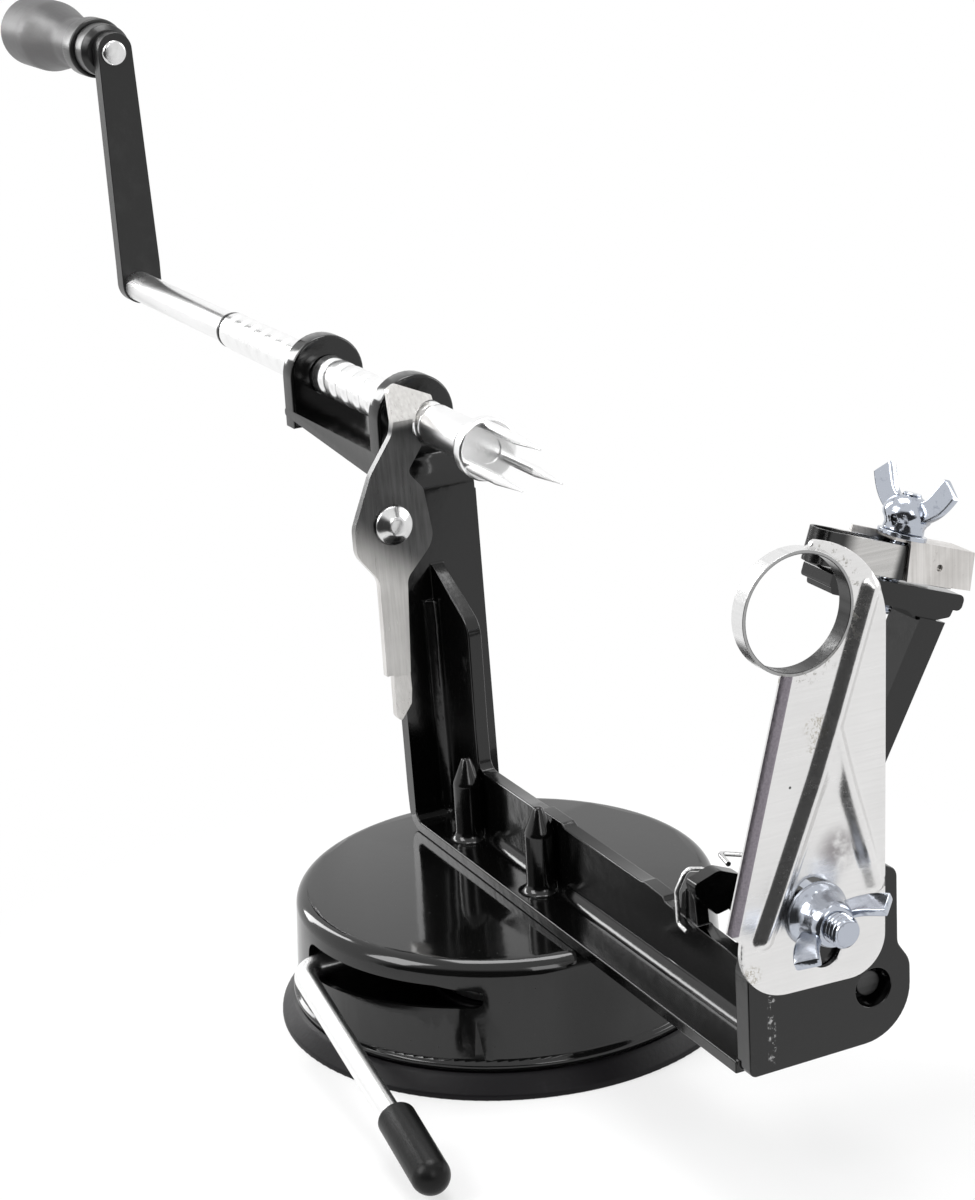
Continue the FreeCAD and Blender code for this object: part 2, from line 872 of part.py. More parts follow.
def wing_nut(base, way, wing_way, skirt_r, bore_r):
    # a skirt, a tapering hub and two leaning wings that widen towards flat ends
    hub_r_low = 4.8
    height = 7.0
    flare = rounded_wire([
        (bore_r, 0),
        (skirt_r, 0, 0.2),
        (skirt_r - 0.2, 1.2, 0.5),
        (hub_r_low, 3.6, 1.0),
        (hub_r_low - 0.8, height, 0.5),
        (bore_r, height),
    ], "XZ", 0.0)
    hub = Part.Face(flare).revolve(vec(0, 0, 0), along_z, 360)
    wings = []
    for side in (-1, 1):
        wing = plate([
            (side * 3.3, 2.4),
            (side * 5.4, 3.0, 1.2),
            (side * 11.2, 8.8, 0.4),
            (side * 7.4, 12.2, 0.4),
            (side * 4.6, 7.6, 1.5),
            (side * 3.3, 6.2),
        ], "XZ", -0.9, 0.9)
        wings.append(wing)
    nut = joined([hub] + wings)
    nut = nut.cut(pin(vec(0, 0, -1), vec(0, 0, height + 1), bore_r))
    side_way = way.cross(wing_way).normalize()
    matrix = FreeCAD.Matrix(
        wing_way.x, side_way.x, way.x, base.x,
        wing_way.y, side_way.y, way.y, base.y,
        wing_way.z, side_way.z, way.z, base.z,
        0, 0, 0, 1)
    placed = nut.copy()
    placed.Placement = FreeCAD.Placement(matrix)
    return placed


def slicer_wing_nut():
    lean = math.radians(23.0)
    base = vec(slicer_x[1] + 0.1, bolt_y, bolt_z)
    wing_way = vec(0, math.cos(lean), math.sin(lean))
    return wing_nut(base, along_x, wing_way, 6.4, bolt_r + fit_gap)


def peel_arm():
    hub = pin(vec(hub_x[0], pivot_y, pivot_z), vec(hub_x[1], pivot_y, pivot_z), arm_hub_r)
    stem = plate([
        (20.4, 38.4),
        (27.2, 39.2),
        (45.1, 71.7, 60.0),
        (58.6, 96.4),
        (52.8, 98.6),
        (45.3, 84.5),
        (39.6, 74.0, 60.0),
    ], "YZ", 71.5, 81.0)
    slab = head_plate([
        (-15.8, 0, 0.8),
        (16.2, 0, 1.2),
        (16.2, -3.2, 1.2),
        (-15.8, -3.2, 0.8),
    ], 71.0, 81.0)
    rib = head_plate([
        (-14.8, -2.8),
        (15.0, -2.8),
        (14.6, -4.8, 0.8),
        (8.0, -7.0, 3.0),
        (4.0, -4.8, 4.0),
        (-14.4, -4.4, 0.8),
    ], 71.8, 80.2)
    finger = plate([
        (24.5, 42.5),
        (14.0, 50.8, 1.2),
        (11.6, 54.8, 3.0),
        (6.4, 57.0, 2.5),
        (0.9, 55.2, 0.9),
        (1.2, 53.0, 0.8),
        (5.6, 47.9, 1.0),
        (12.2, 49.2, 3.0),
        (17.5, 38.5),
    ], "YZ", 77.3, 80.6)
    bore = pin(vec(60, pivot_y, pivot_z), vec(90, pivot_y, pivot_z), pivot_r + fit_gap)
    bolt_hole = pin(head_point(head_bolt_x, 0, -10), head_point(head_bolt_x, 0, 5), head_bolt_r)
    # the spring's coil and its leg pass beside the hub
    coil_space = pin(vec(60, pivot_y, pivot_z), vec(hub_x[0], pivot_y, pivot_z), 5.8)
    leg_space = plate([(19.7, 42.6), (26.7, 39.6), (28.7, 43.2), (21.7, 54.6)], "YZ", 60, hub_x[0])
    body = joined([eased(hub, 0.5, along_x), stem, slab, rib, finger])
    return body.cut(Part.makeCompound([bore, bolt_hole])).cut(joined([coil_space, leg_space]))


def pivot_shaft():
    return lathe_x([
        (67.8, 0),
        (67.8, pivot_r, 0.5),
        (97.0, pivot_r, 0.5),
        (97.0, pivot_end_r),
        (front_x[1] - 2.5, pivot_end_r, 0.4),
        (front_x[1] - 2.5, 0),
    ], pivot_y, pivot_z)


def pivot_clip():
    ring = pin(vec(68.3, pivot_y, pivot_z), vec(69.2, pivot_y, pivot_z), 5.4)
    bore = pin(vec(66, pivot_y, pivot_z), vec(72, pivot_y, pivot_z), pivot_r)
    mouth = Part.makeBox(4, 5.0, 8.0, vec(67, pivot_y - 2.5, pivot_z - 8.0))
    return ring.cut(Part.makeCompound([bore, mouth]))


def peel_blade():
    # a hairpin of spring strip on edge: two legs and a round cutting nose
    front = 80.2
    back = 73.9
    thick = 0.6
    low = 0.6
    nose_r = (front - back) / 2
    middle = front - nose_r

    def strip_point(x, s):
        return head_point(x, s, low)

    def straight(x, s, next_x, next_s):
        return Part.LineSegment(strip_point(x, s), strip_point(next_x, next_s)).toShape()

    def bend(x, next_x, reach):
        tip = strip_point(middle, strip_nose_s - reach)
        return Part.Arc(strip_point(x, strip_nose_s), tip, strip_point(next_x, strip_nose_s)).toShape()

    outline = Part.Wire([
        straight(front, 13.0, front, strip_nose_s),
        bend(front, back, nose_r),
        straight(back, strip_nose_s, back, 12.0),
        straight(back, 12.0, back + thick, 12.0),
        straight(back + thick, 12.0, back + thick, strip_nose_s),
        bend(back + thick, front - thick, nose_r - thick),
        straight(front - thick, strip_nose_s, front - thick, 13.0),
        straight(front - thick, 13.0, front, 13.0),
    ])
    up = head_point(0, 0, strip_height) - head_point(0, 0, 0)
    return Part.Face(outline).extrude(up)


def blade_clip():
    # a folded cover: two walls, a top and an end, cut a little askew
    wall = 0.7
    top_n = 8.6
    front_x_low = 80.3
    back_x_low = 73.1
    front = head_plate([(1.6, 0.6), (17.0, 1.1), (15.6, top_n), (0.0, top_n)], front_x_low, front_x_low + wall)
    back = head_plate([(-9.0, 0.9), (17.0, 1.1), (15.6, top_n), (-9.0, top_n)], back_x_low, back_x_low + wall)
    top = head_plate([(-3.0, 7.9), (15.6, 7.9), (15.6, top_n), (-3.0, top_n)], back_x_low, front_x_low + wall)
    end = head_plate([(16.3, 1.1), (17.0, 1.1), (15.6, top_n), (14.9, top_n)], back_x_low, front_x_low + wall)
    bolt_hole = pin(head_point(head_bolt_x, 0, -2), head_point(head_bolt_x, 0, 12), head_bolt_r + fit_gap)
    notch = head_plate([(-4.0, 7.5), (0.0, 7.5), (0.0, 9.0), (-4.0, 9.0)], 80.0, 82.0)
    dimple = pin(head_point(80.0, 8.3, 4.4), head_point(82.0, 8.3, 4.4), 0.7)
    return joined([front, back, top, end]).cut(Part.makeCompound([bolt_hole, notch, dimple]))


def blade_bolt():
    return pin(head_point(head_bolt_x, 0, -6.5), head_point(head_bolt_x, 0, 17.2), head_bolt_r)


def blade_washer():
    disc = pin(head_point(head_bolt_x, 0, 8.6), head_point(head_bolt_x, 0, 9.5), 4.9)
    hole = pin(head_point(head_bolt_x, 0, 8), head_point(head_bolt_x, 0, 10), head_bolt_r + fit_gap)
    return disc.cut(hole)


def blade_wing_nut():
    way = (head_point(0, 0, 1) - head_point(0, 0, 0)).normalize()
    slab_way = (head_point(0, 1, 0) - head_point(0, 0, 0)).normalize()
    turn = math.radians(8.0)
    wing_way = along_x * math.cos(turn) + slab_way * math.sin(turn)
    return wing_nut(head_point(head_bolt_x, 0, 9.6), way, wing_way, 4.7, head_bolt_r + fit_gap)


def arm_spring():
    # the coil sits on the pivot shaft; the frame leg hooks on the web, the other over the finger
    wire_r = 0.5
    coil_r = 4.4
    pitch = 1.5
    quarters = 10
    coil_start = math.radians(211.0)
    turns = helix_edges(pivot_y, pivot_z, coil_r, 70.0, pitch, quarters, coil_start)
    tip = vec(74.2, 2.6, 42.6)
    bend = vec(71.2, 2.5, 43.2)
    first_way = turns[0].tangentAt(turns[0].FirstParameter)
    first = turns[0].valueAt(turns[0].FirstParameter)
    last_way = turns[-1].tangentAt(turns[-1].LastParameter)
    last = turns[-1].valueAt(turns[-1].LastParameter)
    frame_leg = leg_edges([
        tip,
        bend,
        vec(71.0, 2.4, 50.0),
        vec(71.2, 4.6, 54.2),
        first - first_way * 17.0,
        first,
    ], [1.4, 3.0, 1.6, 2.0])
    arm_leg = leg_edges([
        last,
        last + last_way * 15.0,
        vec(75.6, 9.6, 57.9),
        vec(80.9, 8.4, 57.9),
    ], [6.0, 1.3])
    path = Part.Wire(frame_leg + turns + arm_leg)
    ring = Part.Wire([Part.makeCircle(wire_r, tip, bend - tip)])
    print("arm spring least gap between turns", round(pitch - 2 * wire_r, 2), "mm")
    return path.makePipeShell([ring], True, False)


os.makedirs("parts", exist_ok=True)
export("frame_casting", frame_casting())
export("base_drum", base_drum())
export("suction_pad", suction_pad())
export("pad_plate", pad_plate())
export("pad_stud", pad_stud())
export("stud_guide", stud_guide())
export("lever_rod", lever_rod())
export("lever_cap", lever_cap())
export("lever_collars", lever_collars())
export("base_screws", base_screws())
export("base_washers", base_washers())
export("feed_screw", feed_screw())
export("thread_end_ring", thread_end_ring())
export("fork", fork())
export("crank_arm", crank_arm())
export("handle_axle", handle_axle())
export("handle_shoulder", handle_shoulder())
export("handle_ferrule", handle_ferrule())
export("handle_grip", handle_grip())
export("latch_plate", latch_plate())
export("latch_rivet", latch_rivet())
export("latch_spring", latch_spring())
export("slicer_blade", slicer_blade())
export("coring_ring", coring_ring())
export("slicer_bolt", slicer_bolt())
export("slicer_wing_nut", slicer_wing_nut())
export("peel_arm", peel_arm())
export("pivot_shaft", pivot_shaft())
export("pivot_clip", pivot_clip())
export("peel_blade", peel_blade())
export("blade_clip", blade_clip())
export("blade_bolt", blade_bolt())
export("blade_washer", blade_washer())
export("blade_wing_nut", blade_wing_nut())
export("arm_spring", arm_spring())
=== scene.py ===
import json
import math
import bmesh
import bpy
import numpy as np
from mathutils import Matrix, Vector
from mathutils.geometry import delaunay_2d_cdt


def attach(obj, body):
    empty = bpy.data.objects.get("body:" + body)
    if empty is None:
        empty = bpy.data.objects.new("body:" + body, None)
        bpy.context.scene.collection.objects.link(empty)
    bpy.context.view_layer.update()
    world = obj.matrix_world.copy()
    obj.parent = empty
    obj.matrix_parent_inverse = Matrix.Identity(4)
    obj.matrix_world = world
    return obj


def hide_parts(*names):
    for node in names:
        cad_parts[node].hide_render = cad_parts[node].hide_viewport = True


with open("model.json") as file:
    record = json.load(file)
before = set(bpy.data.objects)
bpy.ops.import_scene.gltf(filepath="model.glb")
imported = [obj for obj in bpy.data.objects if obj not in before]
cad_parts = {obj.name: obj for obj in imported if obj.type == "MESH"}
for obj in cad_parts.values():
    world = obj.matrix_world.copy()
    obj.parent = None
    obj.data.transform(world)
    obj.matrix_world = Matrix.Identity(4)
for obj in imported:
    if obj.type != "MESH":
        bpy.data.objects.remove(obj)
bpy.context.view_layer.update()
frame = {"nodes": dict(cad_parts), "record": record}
mm = 0.001
alongX = (1, 0, 0)
alongY = (0, 1, 0)
# a turned piece ends at this radius, so that its end cap has no double points
poleRadius = 0.02

# the photograph's camera, in millimetres and degrees in the part's frame
camera = {
    "place": (517.01, -249.67, 279.99),
    "azimuth": 25.754,
    "elevation": 18.238,
    "roll": -3.323,
    "focalPixels": 2880.53,
    "frameHeight": 1200,
}

studio = {
    # the table's outline: it ends on the camera's side, where the room is darker
    "floorOutline": [(-6.0, 6.0), (-6.0, -6.0), (-2.6, -6.0), (0.0, -0.24), (0.12, -0.15),
                     (0.15, -0.03), (6.0, 0.9), (6.0, 6.0)],
    "floorColour": (0.86, 0.86, 0.86, 1.0),
    # under the part this share of the table is plain white, and the rest takes the shadow
    "whiteShare": 0.62,
    # the shadow shows fully within the first distance of its centre, and fades out to the second
    "shadowCentre": (0.02, 0.0, 0.0),
    "shadowReach": (0.075, 0.15),
    "worldLight": 0.55,
    # reflections see the room darken to roomShade as their direction nears shadeWay;
    # shadeEdge is the closeness where the darkening starts and ends
    "roomShade": 0.04,
    "shadeWay": (0.66, -0.68, -0.30),
    "shadeEdge": (0.46, 0.72),
    "lamps": [
        # name, place, target, size across, size up, watts
        ("keyPanel", (-0.10, -0.95, 0.80), (0.0, 0.0, 0.08), 0.5, 0.7, 8.0),
        ("edgePanel", (-1.00, -0.37, 0.55), (0.0, 0.0, 0.08), 0.22, 0.8, 5.0),
        ("topPanel", (-0.25, 0.15, 1.25), (0.0, 0.0, 0.05), 0.6, 0.6, 8.0),
        ("frontPanel", (1.25, -0.15, 0.75), (0.0, 0.0, 0.08), 0.35, 0.6, 2.2),
        ("sidePanel", (0.25, 1.05, 0.55), (0.0, 0.0, 0.08), 0.6, 0.6, 4.0),
    ],
}


def setCamera():
    azimuth = math.radians(camera["azimuth"])
    elevation = math.radians(camera["elevation"])
    roll = math.radians(camera["roll"])
    flat = math.cos(elevation)
    forward = np.array([-math.cos(azimuth) * flat, math.sin(azimuth) * flat, -math.sin(elevation)])
    level = np.cross(forward, (0.0, 0.0, 1.0))
    level /= np.linalg.norm(level)
    upright = np.cross(level, forward)
    right = level * math.cos(roll) + upright * math.sin(roll)
    up = upright * math.cos(roll) - level * math.sin(roll)
    data = bpy.data.cameras.new("photoCamera")
    data.sensor_fit = "AUTO"
    data.lens = camera["focalPixels"] * data.sensor_width / camera["frameHeight"]
    data.clip_start = 0.01
    data.clip_end = 50.0
    eye = bpy.data.objects.new("photoCamera", data)
    turn = Matrix(np.stack([right, up, -forward], axis=1).tolist())
    eye.matrix_world = Matrix.Translation(Vector(camera["place"]) * mm) @ turn.to_4x4()
    bpy.context.collection.objects.link(eye)
    bpy.context.scene.camera = eye


class Sock:
    # wraps one shader socket, so that shader maths reads as plain sums
    def __init__(self, tree, out):
        self.tree = tree
        self.out = out

    def node(self, kind, settings=None, sockets=None, output=0):
        made = self.tree.nodes.new(kind)
        for name, value in (settings or {}).items():
            setattr(made, name, value)
        for key, value in (sockets or {}).items():
            if isinstance(value, Sock):
                self.tree.links.new(value.out, made.inputs[key])
            else:
                made.inputs[key].default_value = value
        return Sock(self.tree, made.outputs[output])

    def maths(self, operation, first, second):
        return self.node("ShaderNodeMath", {"operation": operation}, {0: first, 1: second})

    def __add__(self, other):
        return self.maths("ADD", self, other)

    __radd__ = __add__

    def __sub__(self, other):
        return self.maths("SUBTRACT", self, other)

    def __rsub__(self, other):
        return self.maths("SUBTRACT", other, self)

    def __mul__(self, other):
        return self.maths("MULTIPLY", self, other)


def noise(place, scale, detail=4.0, roughness=0.55):
    sockets = {"Vector": place, "Scale": scale, "Detail": detail, "Roughness": roughness}
    return place.node("ShaderNodeTexNoise", {}, sockets)


def streaks(place, along, scale, detail=3.0):
    # noise drawn out along one axis: the axis named in "along" is squeezed before the noise is read
    squeezed = 0.03
    stretch = [1.0, 1.0, 1.0]
    stretch["XYZ".index(along)] = squeezed
    mapped = place.node("ShaderNodeMapping", {}, {"Vector": place, "Scale": tuple(stretch)})
    return noise(mapped, scale, detail, 0.6)


def between(value, low, high):
    # 0 below low, 1 above high and smooth in between
    sockets = {"Value": value, "From Min": low, "From Max": high}
    return value.node("ShaderNodeMapRange", {"interpolation_type": "SMOOTHSTEP"}, sockets)


def inBand(value, rise, fall):
    # 1 inside a band: it rises between the first two places and falls between the last two
    return between(value, *rise) * (1.0 - between(value, *fall))


def larger(first, second):
    return first.maths("MAXIMUM", first, second)


def blend(mask, first, second):
    # colour that goes from first to second with the mask
    return mask.node("ShaderNodeMix", {"data_type": "RGBA"}, {0: mask, 6: first, 7: second}, 2)


def bump(height, strength, distance):
    sockets = {"Height": height, "Strength": strength, "Distance": distance}
    return height.node("ShaderNodeBump", {}, sockets)


def newMaterial(name, fixed, paint):
    # fixed holds the shader's constant sockets, paint gives the ones that change over the surface
    material = bpy.data.materials.new(name)
    material.use_nodes = True
    tree = material.node_tree
    tree.nodes.clear()
    shader = tree.nodes.new("ShaderNodeBsdfPrincipled")
    output = tree.nodes.new("ShaderNodeOutputMaterial")
    tree.links.new(shader.outputs[0], output.inputs[0])
    for key, value in fixed.items():
        shader.inputs[key].default_value = value
    place = Sock(tree, tree.nodes.new("ShaderNodeTexCoord").outputs["Object"])
    for key, value in paint(place).items():
        tree.links.new(value.out, shader.inputs[key])
    return material


def grey(level, tint=(1.0, 1.0, 1.0)):
    return (level * tint[0], level * tint[1], level * tint[2], 1.0)


def axisOf(place, name):
    # one coordinate of the place, in metres
    return place.node("ShaderNodeSeparateXYZ", {}, {0: place}, "XYZ".index(name))


def distanceTo(place, centre):
    return place.node("ShaderNodeVectorMath", {"operation": "DISTANCE"}, {0: place, 1: centre}, 1)


def spotAt(place, centre, radius, soft):
    # 1 inside a round spot on the surface and 0 outside it
    return 1.0 - between(distanceTo(place, centre), radius - soft, radius + soft)


def enamelPaint(place):
    # stoved black enamel: a faint cloud in the gloss and a few dust nibs
    cloud = noise(place, 60.0, 3.0)
    peel = noise(place, 420.0, 2.0)
    nibs = between(noise(place, 1400.0, 1.0), 0.76, 0.80)
    return {
        "Base Color": blend(cloud, grey(0.0015), grey(0.004)),
        "Roughness": 0.05 + cloud * 0.07 + nibs * 0.2,
        "Normal": bump(peel + nibs * 0.7, 0.05, 0.0002),
    }


chipMarks = {
    # the middle, radius and soft edge of the chipped patch, and the band across Y that holds it
    "patch": ((0.1097, -0.0005, 0.0380), 0.0068, 0.0012),
    "bandRise": (-0.0016, -0.0010),
    "bandFall": (-0.0001, 0.0005),
}


def castPaint(place):
    # enamel over a casting: softly waved, with bare chips along the foot of the front plate
    cloud = noise(place, 45.0, 4.0)
    sand = noise(place, 380.0, 3.0, 0.5)
    scuffs = between(noise(place, 130.0, 6.0, 0.75), 0.62, 0.74)
    patch = spotAt(place, *chipMarks["patch"])
    band = inBand(axisOf(place, "Y"), chipMarks["bandRise"], chipMarks["bandFall"])
    chips = between(noise(place, 760.0, 6.0, 0.8), 0.55, 0.60) * patch * band
    return {
        "Base Color": blend(chips, blend(scuffs, grey(0.0015), grey(0.008)), grey(0.45)),
        "Roughness": 0.09 + cloud * 0.08 + scuffs * 0.10 + chips * 0.3,
        "Normal": bump(sand + chips * -1.0, 0.10, 0.0003),
    }


def rubberPaint(place):
    mottle = noise(place, 90.0, 5.0, 0.6)
    skin = noise(place, 900.0, 3.0)
    dust = between(noise(place, 260.0, 5.0, 0.7), 0.58, 0.78)
    return {
        "Base Color": blend(dust, (0.0025, 0.002, 0.003, 1.0), (0.008, 0.007, 0.009, 1.0)),
        "Roughness": 0.34 + mottle * 0.20,
        "Normal": bump(skin, 0.15, 0.0003),
    }


def capPaint(place):
    grain = noise(place, 1300.0, 3.0)
    dull = noise(place, 120.0, 4.0)
    return {
        "Base Color": blend(dull, grey(0.002), grey(0.007)),
        "Roughness": 0.27 + dull * 0.16,
        "Normal": bump(grain, 0.12, 0.0003),
    }


def chromePaint(place):
    film = noise(place, 70.0, 4.0)
    hair = streaks(place, "X", 900.0)
    return {
        "Base Color": blend(film, grey(0.88), grey(0.97)),
        "Roughness": 0.19 + film * 0.10 + hair * 0.03,
        "Normal": bump(hair, 0.03, 0.0002),
    }


def crankPaint(place):
    # satin black on a bar: fine powder grain and light handling marks
    grain = noise(place, 800.0, 3.0)
    rubbed = between(noise(place, 55.0, 6.0, 0.7), 0.52, 0.72)
    return {
        "Base Color": blend(rubbed, grey(0.008), grey(0.018)),
        "Roughness": 0.28 + rubbed * 0.12,
        "Normal": bump(grain, 0.12, 0.0003),
    }


def gripPaint(place):
    grain = noise(place, 500.0, 5.0, 0.65)
    turned = streaks(place, "Y", 400.0)
    worn = between(noise(place, 80.0, 4.0), 0.45, 0.7)
    return {
        "Base Color": blend(worn, (0.034, 0.033, 0.034, 1.0), (0.060, 0.058, 0.058, 1.0)),
        "Roughness": 0.40 + worn * 0.16,
        "Normal": bump(grain + turned * 0.5, 0.15, 0.0003),
    }


def brushedPaint(along, dark, light, rough):
    # long fine scratches along one axis over a slow change of tone
    def paint(place):
        scratch = streaks(place, along, 1500.0, 2.0)
        band = streaks(place, along, 260.0, 3.0)
        tone = noise(place, 75.0, 4.0)
        marks = between(noise(place, 330.0, 5.0, 0.7), 0.66, 0.74)
        shade = between(scratch * 0.4 + band * 0.3 + tone * 0.3, 0.30, 0.70)
        return {
            "Base Color": blend(marks * 0.6, blend(shade, grey(dark), grey(light)), grey(dark * 0.35)),
            "Roughness": rough + scratch * 0.16 + marks * 0.15,
            "Normal": bump(scratch + band * 0.5, 0.12, 0.0002),
        }
    return paint


latchMarks = {
    # heights where the painted dark reflection ends under the hook, and where it fades out below the rivet
    "hook": (0.1205, 0.1235),
    "shoulder": (0.0790, 0.0930),
    "shoulderSlope": 0.78,
}


def latchPaint(place):
    # brushed steel with a painted dark reflection of the room on its upper half
    scratch = streaks(place, "Z", 1300.0, 2.0)
    tone = noise(place, 90.0, 4.0)
    height = axisOf(place, "Z")
    sloped = height + axisOf(place, "Y") * latchMarks["shoulderSlope"]
    # painted reflection: the upper half is darkened in the base colour
    dark = between(sloped, *latchMarks["shoulder"]) * (1.0 - between(height, *latchMarks["hook"]))
    shade = between(scratch * 0.5 + tone * 0.5, 0.30, 0.70)
    light = blend(shade, grey(0.62, (1.0, 0.98, 0.95)), grey(0.80, (1.0, 0.985, 0.96)))
    return {
        "Base Color": blend(dark, light, blend(shade, grey(0.07), grey(0.12))),
        "Roughness": 0.22 + scratch * 0.16,
        "Normal": bump(scratch, 0.10, 0.0002),
    }


stripMarks = {
    # the bolt's place across and up, the slab's direction, and places along it counted from the bolt
    "bolt": (0.0481, 0.1064),
    "slabWay": (0.942, 0.3355),
    # where the painted shade towards the nose fades out, and where the painted shadow under the clip rises
    # and falls
    "nose": (-0.0150, -0.0105),
    "shadeRise": (-0.0022, -0.0002),
    "shadeFall": (0.0010, 0.0016),
}


def stripPaint(place):
    # polished spring strip, with painted shade towards the nose and a painted shadow under the clip
    scratch = streaks(place, "Y", 1500.0, 2.0)
    grain = noise(place, 900.0, 3.0)
    boltY, boltZ = stripMarks["bolt"]
    wayY, wayZ = stripMarks["slabWay"]
    run = (axisOf(place, "Y") - boltY) * wayY - (axisOf(place, "Z") - boltZ) * wayZ
    # painted shade towards the nose and a painted shadow under the clip, darkening the base colour
    nose = 1.0 - between(run, *stripMarks["nose"])
    dark = larger(nose, inBand(run, stripMarks["shadeRise"], stripMarks["shadeFall"]))
    plain = blend(scratch, grey(0.40, (1.0, 0.985, 0.96)), grey(0.66, (1.0, 0.985, 0.965)))
    return {
        "Base Color": blend(dark, plain, grey(0.05)),
        "Roughness": 0.20 + grain * 0.12,
        "Normal": bump(scratch, 0.10, 0.0002),
    }


def clipPaint(place):
    scratch = streaks(place, "Z", 1300.0, 2.0)
    rust = between(noise(place, 420.0, 6.0, 0.75), 0.60, 0.70)
    tone = noise(place, 120.0, 4.0)
    shade = between(scratch * 0.5 + tone * 0.5, 0.30, 0.70)
    plain = blend(shade, grey(0.52, (1.0, 0.965, 0.93)), grey(0.74, (1.0, 0.975, 0.95)))
    return {
        "Base Color": blend(rust * 0.7, plain, (0.20, 0.17, 0.16, 1.0)),
        "Roughness": 0.30 + scratch * 0.12 + rust * 0.2,
        "Normal": bump(scratch + rust, 0.14, 0.0002),
    }


slicerMarks = {
    # the cutting edge's top across and up, and the direction square to it into the plate
    "edge": (0.0028, 0.1062),
    "inward": (0.9656, 0.2598),
    "stripWidth": (0.00208, 0.00222),
    "stripRise": (0.0585, 0.0588),
    "stripFall": (0.1060, 0.1064),
    "frontFace": (0.1103, 0.1106),
    # spots: middle, radius and soft edge
    "seam": ((0.1111, 0.0057, 0.1174), 0.0137, 0.0012),
    "seamTop": (0.128, 0.130),
    "stains": [((0.1111, -0.0052, 0.0502), 0.0018, 0.0008), ((0.1111, 0.0095, 0.0950), 0.0024, 0.0010),
               ((0.1111, 0.0090, 0.0915), 0.0014, 0.0008)],
    "dot": ((0.1111, 0.0037, 0.0848), 0.00025, 0.0001),
    # the cloud is painted shade in the hollow between the ribs
    "cloud": ((0.1111, 0.0135, 0.0705), 0.0034, 0.0026),
}


def groundStrip(place, height):
    # 1 on the plate's front along the cutting edge
    edgeY, edgeZ = slicerMarks["edge"]
    wayY, wayZ = slicerMarks["inward"]
    inward = (axisOf(place, "Y") - edgeY) * wayY - (height - edgeZ) * wayZ
    front = between(axisOf(place, "X"), *slicerMarks["frontFace"])
    upright = inBand(height, slicerMarks["stripRise"], slicerMarks["stripFall"])
    return (1.0 - between(inward, *slicerMarks["stripWidth"])) * upright * front


def slicerPaint(place):
    # plate steel with fine level hairlines, a ground strip along the cutting edge, solder at the ring and
    # painted shade in the hollow between the ribs
    hair = streaks(place, "Y", 1700.0, 2.0)
    tone = noise(place, 70.0, 4.0)
    height = axisOf(place, "Z")
    strip = groundStrip(place, height)
    grit = noise(place, 2600.0, 3.0, 0.7)
    ground = blend(grit, (0.16, 0.145, 0.165, 1.0), (0.46, 0.42, 0.47, 1.0))
    seam = spotAt(place, *slicerMarks["seam"]) * (1.0 - between(height, *slicerMarks["seamTop"]))
    solder = between(noise(place, 700.0, 5.0, 0.75), 0.54, 0.62) * seam
    first, second, third = (spotAt(place, *spot) for spot in slicerMarks["stains"])
    rough = noise(place, 1500.0, 6.0, 0.8)
    stain = between(rough, 0.50, 0.57) * larger(first, larger(second, third)) * 0.8
    patchy = between(noise(place, 300.0, 3.0), 0.30, 0.65)
    # painted shade: a patchy dark spot in the hollow between the ribs
    cloud = spotAt(place, *slicerMarks["cloud"]) * patchy
    steel = grey(0.66, (1.0, 0.99, 0.985)), grey(0.86, (1.0, 0.995, 0.99))
    hollowShaded = blend(cloud * 0.75, blend(hair * 0.5 + tone * 0.5, *steel), (0.16, 0.14, 0.15, 1.0))
    stained = blend(stain, hollowShaded, (0.40, 0.37, 0.30, 1.0))
    marked = blend(spotAt(place, *slicerMarks["dot"]), stained, grey(0.06))
    return {
        "Base Color": blend(strip, blend(solder, marked, (0.40, 0.39, 0.36, 1.0)), ground),
        "Roughness": 0.19 + hair * 0.12 + strip * 0.18 + solder * 0.2,
        "Normal": bump(hair * 0.6 + grit * strip + rough * (solder + stain), 0.12, 0.0002),
    }


ringMarks = {
    "axis": (0.0, 0.0057, 0.1174),
    # the bore inside the wall's radius and the front rim past the rim's place take painted shade
    "wall": (0.01092, 0.01100),
    "rim": (0.1120, 0.11205),
    "burntBelow": (0.108, 0.112),
}


def ringPaint(place):
    # bright outside, with painted shade inside the bore and along its front rim, and burnt low down
    hair = streaks(place, "X", 900.0)
    flat = place.node("ShaderNodeMapping", {}, {"Vector": place, "Scale": (0.0, 1.0, 1.0)})
    inside = 1.0 - between(distanceTo(flat, ringMarks["axis"]), *ringMarks["wall"])
    rim = between(axisOf(place, "X"), *ringMarks["rim"]) * 0.6
    low = 1.0 - between(axisOf(place, "Z"), *ringMarks["burntBelow"])
    burnt = between(noise(place, 380.0, 6.0, 0.75), 0.46, 0.66) * low
    worn = blend(burnt, blend(hair, grey(0.66), grey(0.90)), (0.26, 0.24, 0.20, 1.0))
    return {
        # painted shade inside the bore and on the front rim
        "Base Color": blend(larger(inside, rim), worn, blend(hair, grey(0.035), grey(0.10))),
        "Roughness": 0.16 + hair * 0.14 + burnt * 0.3,
        "Normal": bump(hair + burnt, 0.10, 0.0002),
    }


def zincPaint(place):
    # bright zinc plate: blue-white, slightly pooled, with grey bloom in places
    pooled = noise(place, 200.0, 4.0, 0.6)
    bloom = between(noise(place, 480.0, 5.0, 0.7), 0.56, 0.76)
    return {
        "Base Color": blend(bloom, (0.46, 0.49, 0.55, 1.0), (0.22, 0.24, 0.29, 1.0)),
        "Roughness": 0.08 + pooled * 0.10 + bloom * 0.16,
        "Normal": bump(pooled, 0.25, 0.0005),
    }


def rivetPaint(place):
    tone = noise(place, 400.0, 4.0)
    return {
        "Base Color": blend(tone, grey(0.58), grey(0.80)),
        "Roughness": 0.14 + tone * 0.10,
        "Normal": bump(tone, 0.10, 0.0003),
    }


